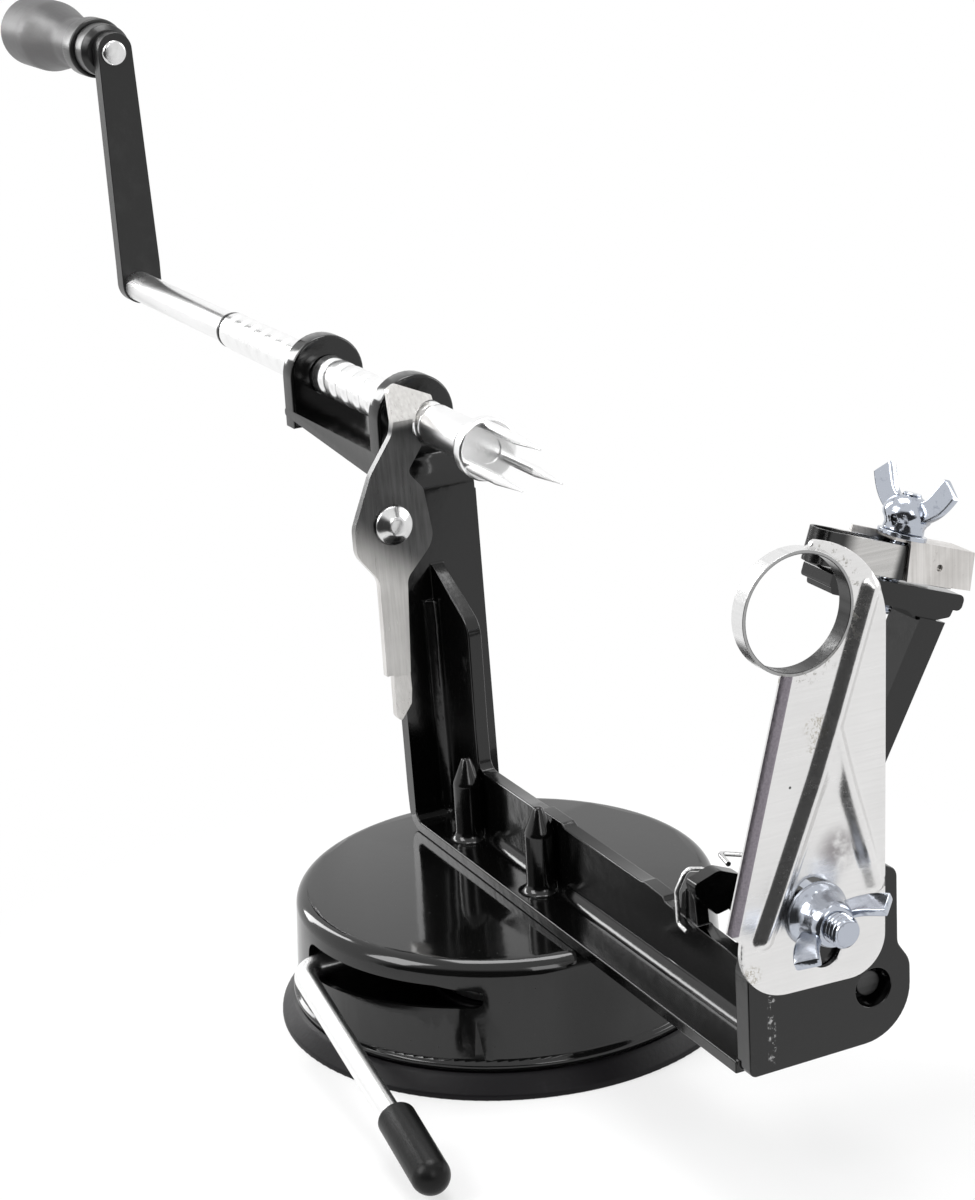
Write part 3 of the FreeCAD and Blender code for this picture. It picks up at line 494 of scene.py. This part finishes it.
enamel = {"IOR": 1.5}
satin = {"IOR": 1.45}
rubber = {"IOR": 1.45, "Specular IOR Level": 0.22}
metal = {"Metallic": 1.0}
finishes = {
    # the material's constant sockets, and its paint
    "castEnamel": (enamel, castPaint),
    "drumEnamel": (enamel, enamelPaint),
    "padRubber": (rubber, rubberPaint),
    "capRubber": (rubber, capPaint),
    "brightChrome": (metal, chromePaint),
    "crankSatin": (satin, crankPaint),
    "gripResin": (satin, gripPaint),
    "latchSteel": (metal, latchPaint),
    "bladeSteel": (metal, stripPaint),
    "clipSteel": (metal, clipPaint),
    "slicerSteel": (metal, slicerPaint),
    "ringSteel": (metal, ringPaint),
    # brushed metal: the scratches' axis, the dark and the light tone, and the roughness
    "innerSteel": (metal, brushedPaint("X", 0.12, 0.22, 0.46)),
    "pinSteel": (metal, brushedPaint("Y", 0.06, 0.11, 0.42)),
    "springWire": (metal, brushedPaint("X", 0.50, 0.80, 0.16)),
    "zincPlate": (metal, zincPaint),
    "rivetSteel": (metal, rivetPaint),
}
paints = {name: newMaterial(name, fixed, paint) for name, (fixed, paint) in finishes.items()}
print("materials made:", len(paints))

# finish of each node, and how its sharp rims are rounded: width in mm, or 0 for none
nodeFinish = {
    "frame_casting": ("castEnamel", 0.30),
    "base_drum": ("drumEnamel", 0.25),
    "suction_pad": ("padRubber", 0.2),
    "pad_plate": ("innerSteel", 0.15),
    "pad_stud": ("innerSteel", 0.15),
    "stud_guide": ("innerSteel", 0.15),
    "lever_rod": ("brightChrome", 0.3),
    "lever_cap": ("capRubber", 0.2),
    "lever_collars": ("innerSteel", 0.1),
    "base_screws": ("zincPlate", 0.15),
    "base_washers": ("zincPlate", 0.1),
    "thread_end_ring": ("crankSatin", 0.15),
    "fork": ("brightChrome", 0.1),
    "crank_arm": ("crankSatin", 0.4),
    "handle_axle": ("rivetSteel", 0.15),
    "handle_shoulder": ("crankSatin", 0.2),
    "handle_ferrule": ("crankSatin", 0.2),
    "handle_grip": ("gripResin", 0.2),
    "latch_plate": ("latchSteel", 0.25),
    "latch_rivet": ("rivetSteel", 0.15),
    "latch_spring": ("springWire", 0),
    "coring_ring": ("ringSteel", 0.12),
    "peel_arm": ("castEnamel", 0.25),
    "pivot_shaft": ("pinSteel", 0.2),
    "pivot_clip": ("springWire", 0.1),
    "peel_blade": ("bladeSteel", 0.12),
    "blade_clip": ("clipSteel", 0.15),
    "blade_washer": ("zincPlate", 0.1),
    "arm_spring": ("springWire", 0),
}
sharpDegrees = 32
rims = {
    # lengths in metres, angles in radians
    "mergeWithin": 2e-6,
    "flatWithin": math.radians(1.0),
    "sharpFrom": math.radians(sharpDegrees),
    "segments": 3,
    # these nodes' rims are rounded at full width below a height, above which short edges crowd together
    "fullBelow": {"frame_casting": 0.090},
}
bodyOf = {node: body for body, nodes in frame["record"]["behaviour"]["bodies"].items() for node in nodes}


def standFor(piece, node, finish):
    # the piece shows instead of the node, in the finish named
    piece.data.materials.clear()
    piece.data.materials.append(paints[finish])
    bpy.context.collection.objects.link(piece)
    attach(piece, bodyOf[node])
    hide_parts(node)


def markRims(work, below):
    # every sharp edge below the height gets the full bevel
    weight = work.edges.layers.float.new("bevel_weight_edge")
    for edge in work.edges:
        low = max(corner.co.z for corner in edge.verts) < below
        if low and len(edge.link_faces) == 2 and edge.calc_face_angle() > rims["sharpFrom"]:
            edge[weight] = 1.0


def soften(node, finish, width):
    # a copy of the node's mesh: doubles merged, flat faces made one, sharp rims rounded
    mesh = frame["nodes"][node].data.copy()
    mesh.name = node + "_soft"
    below = rims["fullBelow"].get(node)
    work = bmesh.new()
    work.from_mesh(mesh)
    bmesh.ops.remove_doubles(work, verts=work.verts, dist=rims["mergeWithin"])
    bmesh.ops.dissolve_limit(work, angle_limit=rims["flatWithin"], verts=work.verts, edges=work.edges,
                             delimit={"NORMAL"})
    for face in work.faces:
        face.smooth = True
    if below:
        markRims(work, below)
    work.to_mesh(mesh)
    work.free()
    # the imported normals no longer fit the merged faces
    if "custom_normal" in mesh.attributes:
        mesh.attributes.remove(mesh.attributes["custom_normal"])
    mesh.set_sharp_from_angle(angle=rims["sharpFrom"])
    piece = bpy.data.objects.new(node + "_soft", mesh)
    if width > 0:
        rim = piece.modifiers.new("roundedRims", "BEVEL")
        rim.width = width * mm
        rim.segments = rims["segments"]
        rim.limit_method = "WEIGHT" if below else "ANGLE"
        rim.angle_limit = rims["sharpFrom"]
        rim.use_clamp_overlap = not below
        rim.harden_normals = True
    standFor(piece, node, finish)


def roundedOutline(corners, arcSteps):
    # a closed outline of straight runs joined by tangent arcs: each corner is (a, b, radius);
    # an arc's centre lies on the corner's halving line, radius / sin(half the angle) away
    runs = []
    for index, (a, b, radius) in enumerate(corners):
        here = np.array((a, b))
        back = np.array(corners[index - 1][:2]) - here
        ahead = np.array(corners[(index + 1) % len(corners)][:2]) - here
        back /= np.linalg.norm(back)
        ahead /= np.linalg.norm(ahead)
        half = math.acos(float(np.clip(back @ ahead, -1, 1))) / 2
        middle = (back + ahead) / np.linalg.norm(back + ahead)
        centre = here + middle * radius / math.sin(half)
        start = here + back * radius / math.tan(half) - centre
        end = here + ahead * radius / math.tan(half) - centre
        side = math.copysign(1.0, start[0] * end[1] - start[1] * end[0])
        angles = np.linspace(0, math.pi - 2 * half, arcSteps + 1) * side
        runs.append(np.stack([
            centre[0] + start[0] * np.cos(angles) - start[1] * np.sin(angles),
            centre[1] + start[0] * np.sin(angles) + start[1] * np.cos(angles),
        ], axis=1))
    return np.vstack(runs)


def makePiece(name, points, faces, sharpAngle=sharpDegrees):
    # points in millimetres; doubles within a micrometre are merged and faces turned outwards
    mesh = bpy.data.meshes.new(name)
    mesh.from_pydata((points.reshape(-1, 3) * mm).tolist(), [], faces)
    work = bmesh.new()
    work.from_mesh(mesh)
    bmesh.ops.remove_doubles(work, verts=work.verts, dist=1e-6)
    bmesh.ops.recalc_face_normals(work, faces=work.faces)
    for face in work.faces:
        face.smooth = True
    work.to_mesh(mesh)
    work.free()
    mesh.set_sharp_from_angle(angle=math.radians(sharpAngle))
    return bpy.data.objects.new(name, mesh)


def gridPiece(name, points, capEnds=True):
    # points[row, place]: each row is a closed ring, and neighbouring rows are joined by quads
    rows, places = points.shape[:2]
    index = np.arange(rows * places).reshape(rows, places)
    beside = np.roll(index, -1, axis=1)
    quads = np.stack([index[:-1], index[1:], beside[1:], beside[:-1]], axis=-1).reshape(-1, 4).tolist()
    if capEnds:
        quads.append(index[0].tolist())
        quads.append(index[-1][::-1].tolist())
    return makePiece(name, points, quads)


def lathePoints(profile, segments=96):
    # a ring of the profile's radius at each of its places along the axis
    turn = np.linspace(0, 2 * math.pi, segments, endpoint=False)
    along = np.repeat(profile[:, :1], segments, axis=1)
    return np.stack([along, profile[:, 1:] * np.cos(turn), profile[:, 1:] * np.sin(turn)], axis=-1)


def placed(points, base, way, side):
    # local x runs along way, local y along side, and local z square to both
    way = np.array(way, dtype=float) / np.linalg.norm(way)
    side = np.array(side, dtype=float) - way * np.dot(side, way)
    side /= np.linalg.norm(side)
    axes = np.stack([way, side, np.cross(way, side)])
    return points @ axes + np.array(base, dtype=float)


def joinPieces(name, pieces, sharpAngle):
    # several closed shells in one mesh
    work = bmesh.new()
    for piece in pieces:
        work.from_mesh(piece.data)
    mesh = bpy.data.meshes.new(name)
    work.to_mesh(mesh)
    work.free()
    mesh.set_sharp_from_angle(angle=math.radians(sharpAngle))
    return bpy.data.objects.new(name, mesh)


def grooveAt(rows, turns, settings):
    # a rounded groove that runs round as a right-handed helix: depth * cos^2 across its width,
    # fading in and out over its run-out at both ends
    lead = settings["lead"]
    across = (rows[:, None] / lead - turns[None, :] / (2 * math.pi) - settings["phase"] + 0.5) % 1.0 - 0.5
    wave = np.cos(math.pi * np.clip(across / settings["width"], -0.5, 0.5)) ** 2
    sinceStart = (rows - settings["threadFrom"]) / settings["runOut"]
    untilEnd = (settings["threadTo"] - rows) / settings["runOut"]
    fade = np.clip(sinceStart, 0, 1) * np.clip(untilEnd, 0, 1)
    return settings["depth"] * wave * fade[:, None]


def threadedBar(name, settings):
    # rows along the axis follow the profile's radius, less the helical groove
    profile = np.array(settings["profile"], dtype=float)
    step = settings["lead"] / settings["rowsPerLead"]
    fine = np.arange(settings["threadFrom"], settings["threadTo"], step)
    inside = (fine > profile[0, 0]) & (fine < profile[-1, 0])
    rows = np.concatenate([profile[:, 0], fine[inside]])
    radii = np.concatenate([profile[:, 1], np.interp(fine[inside], profile[:, 0], profile[:, 1])])
    order = np.argsort(rows, kind="stable")
    rows, radii = rows[order], radii[order]
    turns = np.linspace(0, 2 * math.pi, settings["segments"], endpoint=False)
    reach = np.maximum(radii[:, None] - grooveAt(rows, turns, settings), poleRadius)
    along = np.repeat(rows[:, None], len(turns), axis=1)
    local = np.stack([along, reach * np.cos(turns), reach * np.sin(turns)], axis=-1)
    return gridPiece(name, placed(local, settings["base"], settings["way"], settings["side"]))


screwBar = {
    "base": (0.0, 6.4, 120.3), "way": alongX, "side": alongY,
    "profile": [(-226.6, poleRadius), (-226.6, 3.3), (-226.2, 3.8), (-225.6, 4.0), (-151.0, 4.0),
                (-150.2, 4.75), (-33.2, 4.75), (-32.4, 4.7), (-16.2, 4.7), (-16.0, 4.5), (-16.0, 3.0),
                (-9.4, 3.0), (-9.4, poleRadius)],
    "lead": 6.5, "width": 0.62, "depth": 0.62, "phase": 0.25, "runOut": 2.0,
    "threadFrom": -150.6, "threadTo": -32.8, "rowsPerLead": 26, "segments": 72,
}
standFor(threadedBar("feedScrewThread", screwBar), "feed_screw", "brightChrome")

slicerBolt = {
    "base": (0.0, 8.5, 59.1), "way": alongX, "side": alongY,
    "profile": [(105.9, poleRadius), (105.9, 4.3), (106.3, 4.9), (109.7, 4.9), (109.7, 3.0),
                (121.1, 3.0), (121.6, 2.5), (121.65, 2.2), (121.6, poleRadius)],
    "lead": 1.0, "width": 0.9, "depth": 0.42, "phase": 0.0, "runOut": 0.6,
    "threadFrom": 110.6, "threadTo": 121.6, "rowsPerLead": 10, "segments": 64,
}
standFor(threadedBar("slicerBoltThread", slicerBolt), "slicer_bolt", "zincPlate")

# the slab of the peel arm's head is tilted, and its bolt stands square to it
headTilt = math.radians(-19.6)
headFoot = (77.55, 48.1, 106.4)
headWay = (0.0, -math.sin(headTilt), math.cos(headTilt))
bladeBolt = {
    "base": headFoot, "way": headWay, "side": alongX,
    "profile": [(-6.5, poleRadius), (-6.5, 1.6), (-6.1, 2.0), (16.8, 2.0), (17.2, 1.6), (17.2, poleRadius)],
    "lead": 0.7, "width": 0.9, "depth": 0.30, "phase": 0.0, "runOut": 0.4,
    "threadFrom": -6.4, "threadTo": 17.1, "rowsPerLead": 8, "segments": 48,
}
standFor(threadedBar("bladeBoltThread", bladeBolt), "blade_bolt", "zincPlate")
print("threads cut")

slicer = {
    "back": 110.0,
    "front": 111.1,
    # corners with their radii, from the foot round to the top
    "outline": [(-9.9, 45.0, 10.0), (23.5, 43.9, 7.5), (24.9, 125.0, 17.5), (9.5, 130.0, 1.0)],
    "cornerSteps": 16,
    # the ring's middle across and up, and its radius; the outline follows it from ringFrom to leftTop
    "ring": (5.7, 117.4, 11.5),
    "ringFrom": (8.0, 128.4),
    "ringSteps": 40,
    "leftTop": (2.8, 106.2),
    "leftFoot": (-9.9, 59.4),
    "slotEnds": ((10.4, 51.2), (7.6, 63.0)),
    "slotHalf": 3.4,
    "slotSteps": 17,
    # the ribs' middle lines, and a rib's half width and height
    "mainRib": [(21.6, 118.9), (17.6, 107.5), (13.9, 97.0), (9.6, 85.4), (5.1, 74.6), (0.9, 64.6),
                (-2.6, 56.6)],
    "branch": [(13.1, 93.6), (14.6, 87.2), (16.2, 80.9), (18.0, 74.6), (20.4, 65.7), (21.4, 61.8)],
    "ribHalf": 2.45,
    "ribHeight": 1.55,
    "crestRound": 0.30,
    # between the ribs they merge where their distances differ by less than this
    "merge": 4.6,
    "mergeFade": 1.5,
    # the ground strip along the cutting edge
    "stripWidth": 2.15,
    "stripDrop": 0.45,
    "stripBelow": 0.6,
    "rim": 0.18,
    "sharpAngle": 50,
    "spacing": 0.45,
    # inner points keep this share of the spacing off the outlines
    "keepOff": 0.62,
}


def evenly(loop, spacing):
    # the closed outline again, with points at one even spacing
    closed = np.vstack([loop, loop[:1]])
    runs = np.linalg.norm(np.diff(closed, axis=0), axis=1)
    along = np.concatenate([[0.0], np.cumsum(runs)])
    wanted = np.linspace(0, along[-1], int(along[-1] / spacing), endpoint=False)
    return np.stack([np.interp(wanted, along, closed[:, place]) for place in (0, 1)], axis=1)


def toSegment(points, start, end):
    # distance of every point from one straight run
    start, end = np.array(start, dtype=float), np.array(end, dtype=float)
    run = end - start
    share = np.clip(((points - start) @ run) / (run @ run), 0, 1)
    return np.linalg.norm(points - start - share[:, None] * run, axis=1)


def toRun(points, corners):
    # distance of every point from a line through the corners
    return np.min([toSegment(points, start, end) for start, end in zip(corners[:-1], corners[1:])], axis=0)


def toLoop(points, loop):
    return toRun(points, np.vstack([loop, loop[:1]]))


def inLoop(points, loop):
    # a point is inside when a level ray from it crosses the outline an odd number of times
    ends = np.roll(loop, -1, axis=0)
    across, up = points[:, :1], points[:, 1:]
    straddles = (loop[:, 1] > up) != (ends[:, 1] > up)
    # a level side is never crossed, and its rise only has to differ from zero
    rise = np.where(ends[:, 1] == loop[:, 1], 1.0, ends[:, 1] - loop[:, 1])
    crossing = loop[:, 0] + (up - loop[:, 1]) * (ends[:, 0] - loop[:, 0]) / rise
    return np.sum(straddles & (across < crossing), axis=1) % 2 == 1


def slicerOutline():
    ringY, ringZ, ringR = slicer["ring"]
    outer = roundedOutline(slicer["outline"], slicer["cornerSteps"])
    # the top of the plate ends on the ring, and the ring's own round bounds it down to the cutting edge
    ends = slicer["ringFrom"], slicer["leftTop"]
    start, foot = (math.atan2(up - ringZ, across - ringY) for across, up in ends)
    turns = np.linspace(start, foot, slicer["ringSteps"])
    seat = np.stack([ringY + ringR * np.cos(turns), ringZ + ringR * np.sin(turns)], axis=1)
    return np.vstack([outer, seat, [slicer["leftTop"]], [slicer["leftFoot"]]])


def slotOutline():
    low, high = (np.array(end) for end in slicer["slotEnds"])
    way = (high - low) / np.linalg.norm(high - low)
    side = np.array([way[1], -way[0]])
    turns = np.linspace(0, math.pi, slicer["slotSteps"])
    arc = np.stack([np.cos(turns), np.sin(turns)], axis=1) * slicer["slotHalf"]
    cap = arc[:, :1] * side + arc[:, 1:] * way
    return np.vstack([high + cap, low - cap])


def leftOf(points, corners):
    # how far each point lies to the left of a line that runs from top to foot, at its own height
    corners = np.array(corners)[::-1]
    return np.interp(points[:, 1], corners[:, 1], corners[:, 0]) - points[:, 0]


def slicerHeight(points, outer, slot):
    # a rib is a tent over its middle line with a rounded crest:
    # 1 - (sqrt(t^2 + c^2) - c) / (sqrt(1 + c^2) - c), where t is the distance over the rib's half width.
    # Between the two ribs their distances run together smoothly, and outside them each rib keeps its own
    # flank: min(a, b) - (merge - |a - b|)^2 / (4 merge)
    merge = slicer["merge"]
    first = toRun(points, slicer["mainRib"])
    second = toRun(points, slicer["branch"])
    pastMain = -leftOf(points, slicer["mainRib"]) / slicer["mergeFade"]
    beforeBranch = leftOf(points, slicer["branch"]) / slicer["mergeFade"]
    inner = np.clip(pastMain, 0, 1) * np.clip(beforeBranch, 0, 1)
    overlap = np.maximum(merge - np.abs(first - second), 0) * inner
    reach = np.minimum(first, second) - overlap ** 2 / (4 * merge)
    reach = np.clip(reach / slicer["ribHalf"], 0, 1)
    crest = slicer["crestRound"]
    tent = (np.sqrt(reach ** 2 + crest ** 2) - crest) / (math.sqrt(1 + crest ** 2) - crest)
    # half of the fall follows sin^2(pi t / 2), so that the foot runs out softly
    fall = 0.5 * tent + 0.5 * np.sin(math.pi * reach / 2) ** 2
    height = slicer["ribHeight"] * (1 - fall)
    edgeStart, edgeEnd = np.array(slicer["leftTop"]), np.array(slicer["leftFoot"])
    way = (edgeEnd - edgeStart) / np.linalg.norm(edgeEnd - edgeStart)
    inward = (points - edgeStart) @ np.array([-way[1], way[0]])
    stripFoot = slicer["leftFoot"][1] - slicer["stripBelow"]
    onStrip = (points[:, 1] > stripFoot) & (points[:, 1] < slicer["leftTop"][1])
    drop = slicer["stripDrop"] * np.clip(1 - inward / slicer["stripWidth"], 0, 1) * onStrip
    rim = slicer["rim"]
    near = np.minimum(toLoop(points, outer), toLoop(points, slot))
    return height - drop - rim * (1 - np.clip(near / rim, 0, 1)) ** 2


def slicerPiece():
    # points at one spacing inside the outlines, joined to triangles in front and behind, and a wall between
    step = slicer["spacing"]
    outer = evenly(slicerOutline(), step)
    slot = evenly(slotOutline(), step)
    low, high = outer.min(axis=0), outer.max(axis=0)
    across, up = np.meshgrid(np.arange(low[0], high[0], step), np.arange(low[1], high[1], step))
    across[1::2] += step / 2
    grid = np.stack([across.ravel(), up.ravel()], axis=1)
    grid = grid[inLoop(grid, outer) & ~inLoop(grid, slot)]
    grid = grid[np.minimum(toLoop(grid, outer), toLoop(grid, slot)) > slicer["keepOff"] * step]
    seeds = np.vstack([outer, slot, grid])
    ring = np.arange(len(outer))
    hole = np.arange(len(slot)) + len(outer)
    edges = np.vstack([np.stack([loop, np.roll(loop, -1)], 1) for loop in (ring, hole)])
    # output type 0 fills the whole hull, and the cells outside the plate are dropped below
    triangles = delaunay_2d_cdt([Vector(pair) for pair in seeds], edges.tolist(), [], 0, 1e-6)
    flat, cells = triangles[0], triangles[2]
    points = np.array([tuple(pair) for pair in flat])
    cells = np.array([cell for cell in cells if len(cell) == 3])
    middles = points[cells].mean(axis=1)
    cells = cells[inLoop(middles, outer) & ~inLoop(middles, slot)]
    count = len(points)
    front = slicer["front"] + slicerHeight(points, outer, slot)
    faces = np.vstack([cells, cells[:, ::-1] + count]).tolist()
    sides = np.sort(np.vstack([cells[:, [0, 1]], cells[:, [1, 2]], cells[:, [2, 0]]]), axis=1)
    pairs, uses = np.unique(sides, axis=0, return_counts=True)
    for first, second in pairs[uses == 1].tolist():
        faces.append([first, second, second + count, first + count])
    both = np.vstack([
        np.column_stack([front, points]),
        np.column_stack([np.full(count, slicer["back"]), points]),
    ])
    return makePiece("slicerPressing", both, faces, slicer["sharpAngle"])


standFor(slicerPiece(), "slicer_blade", "slicerSteel")
print("slicer pressed")

nutHub = {
    # place along the axis, radius
    "slicer": [(0.0, 3.05), (0.0, 6.1), (0.15, 6.35), (0.5, 6.4), (1.0, 6.2), (1.6, 5.7), (2.6, 5.2),
               (3.6, 4.85), (5.2, 4.5), (6.3, 4.2), (6.8, 3.9), (7.0, 3.5), (7.0, 3.05)],
    "blade": [(0.0, 2.05), (0.0, 3.9), (0.2, 4.1), (1.3, 4.0), (2.0, 4.3), (2.6, 4.75), (3.4, 4.95),
              (4.4, 4.8), (5.4, 4.3), (6.3, 3.5), (6.8, 2.7), (7.0, 2.05)],
}
nutWing = {
    # the outer and the inner edge of a wing, from its root to its end: place across, place along the axis
    "outer": [(2.6, 1.9), (5.4, 2.9), (8.4, 5.0), (11.2, 9.0)],
    "inner": [(2.6, 6.4), (4.6, 7.6), (6.1, 9.8), (7.5, 12.1)],
    "halfThick": 0.9,
    "corner": 0.30,
    "rows": 22,
    "around": 32,
    "sharpAngle": 40,
    # the last row lies this share of a row further on, and is drawn in to this share of the size
    "endReach": 0.15,
    "endDraw": 0.82,
}


def smoothLine(corners, count):
    # a cubic through the corners, by Lagrange's formula on evenly spaced places
    corners = np.array(corners, dtype=float)
    places = np.linspace(0, 1, len(corners))
    wanted = np.linspace(0, 1, count)
    total = np.zeros((count, 2))
    for index, place in enumerate(places):
        others = np.delete(places, index)
        weight = np.prod((wanted[:, None] - others) / (place - others), axis=1)
        total += weight[:, None] * corners[index]
    return total


def wingPoints(side):
    # each row is a rounded oblong between the outer and the inner edge: (cos t, sin t) to a power under 1;
    # the last row draws in to round the end
    rows, around = nutWing["rows"], nutWing["around"]
    outer = smoothLine(nutWing["outer"], rows)
    inner = smoothLine(nutWing["inner"], rows)
    turns = np.linspace(0, 2 * math.pi, around, endpoint=False)
    wide = np.sign(np.cos(turns)) * np.abs(np.cos(turns)) ** nutWing["corner"]
    thick = np.sign(np.sin(turns)) * np.abs(np.sin(turns)) ** nutWing["corner"]
    draw = np.ones(rows + 1)
    draw[-1] = nutWing["endDraw"]
    outer = np.vstack([outer, outer[-1:] + nutWing["endReach"] * (outer[-1:] - outer[-2:-1])])
    inner = np.vstack([inner, inner[-1:] + nutWing["endReach"] * (inner[-1:] - inner[-2:-1])])
    middle, half = (outer + inner) / 2, (inner - outer) / 2
    across = middle[:, None, 0] + half[:, None, 0] * wide * draw[:, None]
    along = middle[:, None, 1] + half[:, None, 1] * wide * draw[:, None]
    depth = nutWing["halfThick"] * thick * draw[:, None]
    return np.stack([along, side * across, depth], axis=-1)


def wingNut(name, hub, base, way, wingWay):
    # a turned hub with its bore, and a wing on each side
    profile = np.array(nutHub[hub])
    turned = lathePoints(np.vstack([profile, profile[:1]]))
    shells = [gridPiece("hub", placed(turned, base, way, wingWay), capEnds=False)]
    for side in (-1, 1):
        shells.append(gridPiece("wing", placed(wingPoints(side), base, way, wingWay)))
    return joinPieces(name, shells, nutWing["sharpAngle"])


# the slicer nut's wings lean from level; the head's nut sits up its bolt and is turned a little
lean = math.radians(23)
leanWay = (0, math.cos(lean), math.sin(lean))
slicerNutFoot = (111.2, 8.5, 59.1)
slicerNut = wingNut("slicerWingNut", "slicer", slicerNutFoot, alongX, leanWay)
standFor(slicerNut, "slicer_wing_nut", "zincPlate")
nutTurn = math.radians(8)
nutLift = 9.6
slabWay = np.array([0.0, math.cos(headTilt), math.sin(headTilt)])
nutWay = np.array(alongX) * math.cos(nutTurn) + slabWay * math.sin(nutTurn)
nutFoot = np.array(headFoot) + np.array(headWay) * nutLift
standFor(wingNut("bladeWingNut", "blade", nutFoot, headWay, nutWay), "blade_wing_nut", "zincPlate")
print("nuts made")

holeShadeRing = {
    # a thin black ring behind the front plate's window, standing in for the shade round the pin: place
    # along the pivot, radius
    "profile": [(104.6, 2.75), (104.6, 5.2), (105.0, 5.4), (105.18, 5.4), (105.18, 2.75), (104.6, 2.75)],
    "segments": 64,
    "base": (0.0, 22.2, 39.9),
}
shadeRingTurned = lathePoints(np.array(holeShadeRing["profile"]), holeShadeRing["segments"])
seat = gridPiece("holeShadeRing", placed(shadeRingTurned, holeShadeRing["base"], alongX, alongY), capEnds=False)
seat.data.materials.append(paints["castEnamel"])
bpy.context.collection.objects.link(seat)
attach(seat, bodyOf["frame_casting"])

for node, (finish, width) in nodeFinish.items():
    soften(node, finish, width)
print("nodes dressed:", len(nodeFinish))


def stageMaterial():
    # the floor and backdrop show white to the eye and in reflections, and keep the soft shadow
    material = bpy.data.materials.new("paleFloor")
    material.use_nodes = True
    tree = material.node_tree
    tree.nodes.clear()
    base = Sock(tree, tree.nodes.new("ShaderNodeLightPath").outputs["Is Camera Ray"])
    glossy = Sock(tree, base.out.node.outputs["Is Glossy Ray"])
    through = Sock(tree, base.out.node.outputs["Is Transmission Ray"])
    seen = larger(larger(base, glossy), through)
    place = Sock(tree, tree.nodes.new("ShaderNodeTexCoord").outputs["Object"])
    away = distanceTo(place, studio["shadowCentre"])
    share = studio["whiteShare"] + between(away, *studio["shadowReach"]) * (1.0 - studio["whiteShare"])
    matt = base.node("ShaderNodeBsdfDiffuse", {}, {"Color": studio["floorColour"]})
    white = base.node("ShaderNodeEmission", {}, {"Color": (1.0, 1.0, 1.0, 1.0), "Strength": 1.0})
    mixed = base.node("ShaderNodeMixShader", {}, {0: seen * share, 1: matt, 2: white})
    output = tree.nodes.new("ShaderNodeOutputMaterial")
    tree.links.new(mixed.out, output.inputs[0])
    return material


def makeFloor():
    corners = [(x, y, 0.0) for x, y in studio["floorOutline"]]
    mesh = bpy.data.meshes.new("floor")
    mesh.from_pydata(corners, [], [tuple(range(len(corners)))])
    mesh.materials.append(stageMaterial())
    floor = bpy.data.objects.new("floor", mesh)
    bpy.context.collection.objects.link(floor)


def makeLamps():
    for name, place, target, across, up, watts in studio["lamps"]:
        light = bpy.data.lights.new(name, "AREA")
        light.shape = "RECTANGLE"
        light.size = across
        light.size_y = up
        light.energy = watts
        lamp = bpy.data.objects.new(name, light)
        aim = (Vector(target) - Vector(place)).to_track_quat("-Z", "Y")
        lamp.matrix_world = Matrix.Translation(Vector(place)) @ aim.to_matrix().to_4x4()
        bpy.context.collection.objects.link(lamp)


def makeWorld():
    world = bpy.data.worlds.new("paleWorld")
    world.use_nodes = True
    tree = world.node_tree
    tree.nodes.clear()
    seen = Sock(tree, tree.nodes.new("ShaderNodeLightPath").outputs["Is Camera Ray"])
    glossy = Sock(tree, seen.out.node.outputs["Is Glossy Ray"])
    # the room is darker on the camera's side, by the direction's own coordinates
    way = Sock(tree, tree.nodes.new("ShaderNodeTexCoord").outputs["Generated"])
    product = {"operation": "DOT_PRODUCT"}
    towards = way.node("ShaderNodeVectorMath", product, {0: way, 1: studio["shadeWay"]}, 1)
    mirrored = 1.0 - between(towards, *studio["shadeEdge"]) * (1.0 - studio["roomShade"])
    number = {"data_type": "FLOAT"}
    lit = seen.node("ShaderNodeMix", number, {0: glossy, 2: studio["worldLight"], 3: mirrored})
    strength = seen.node("ShaderNodeMix", number, {0: seen, 2: lit, 3: 1.0})
    glow = seen.node("ShaderNodeBackground", {}, {"Color": (1.0, 1.0, 1.0, 1.0), "Strength": strength})
    output = tree.nodes.new("ShaderNodeOutputWorld")
    tree.links.new(glow.out, output.inputs[0])
    bpy.context.scene.world = world


setCamera()
makeFloor()
makeLamps()
makeWorld()
print("studio lit")
bpy.context.scene.view_settings.view_transform = "Standard"
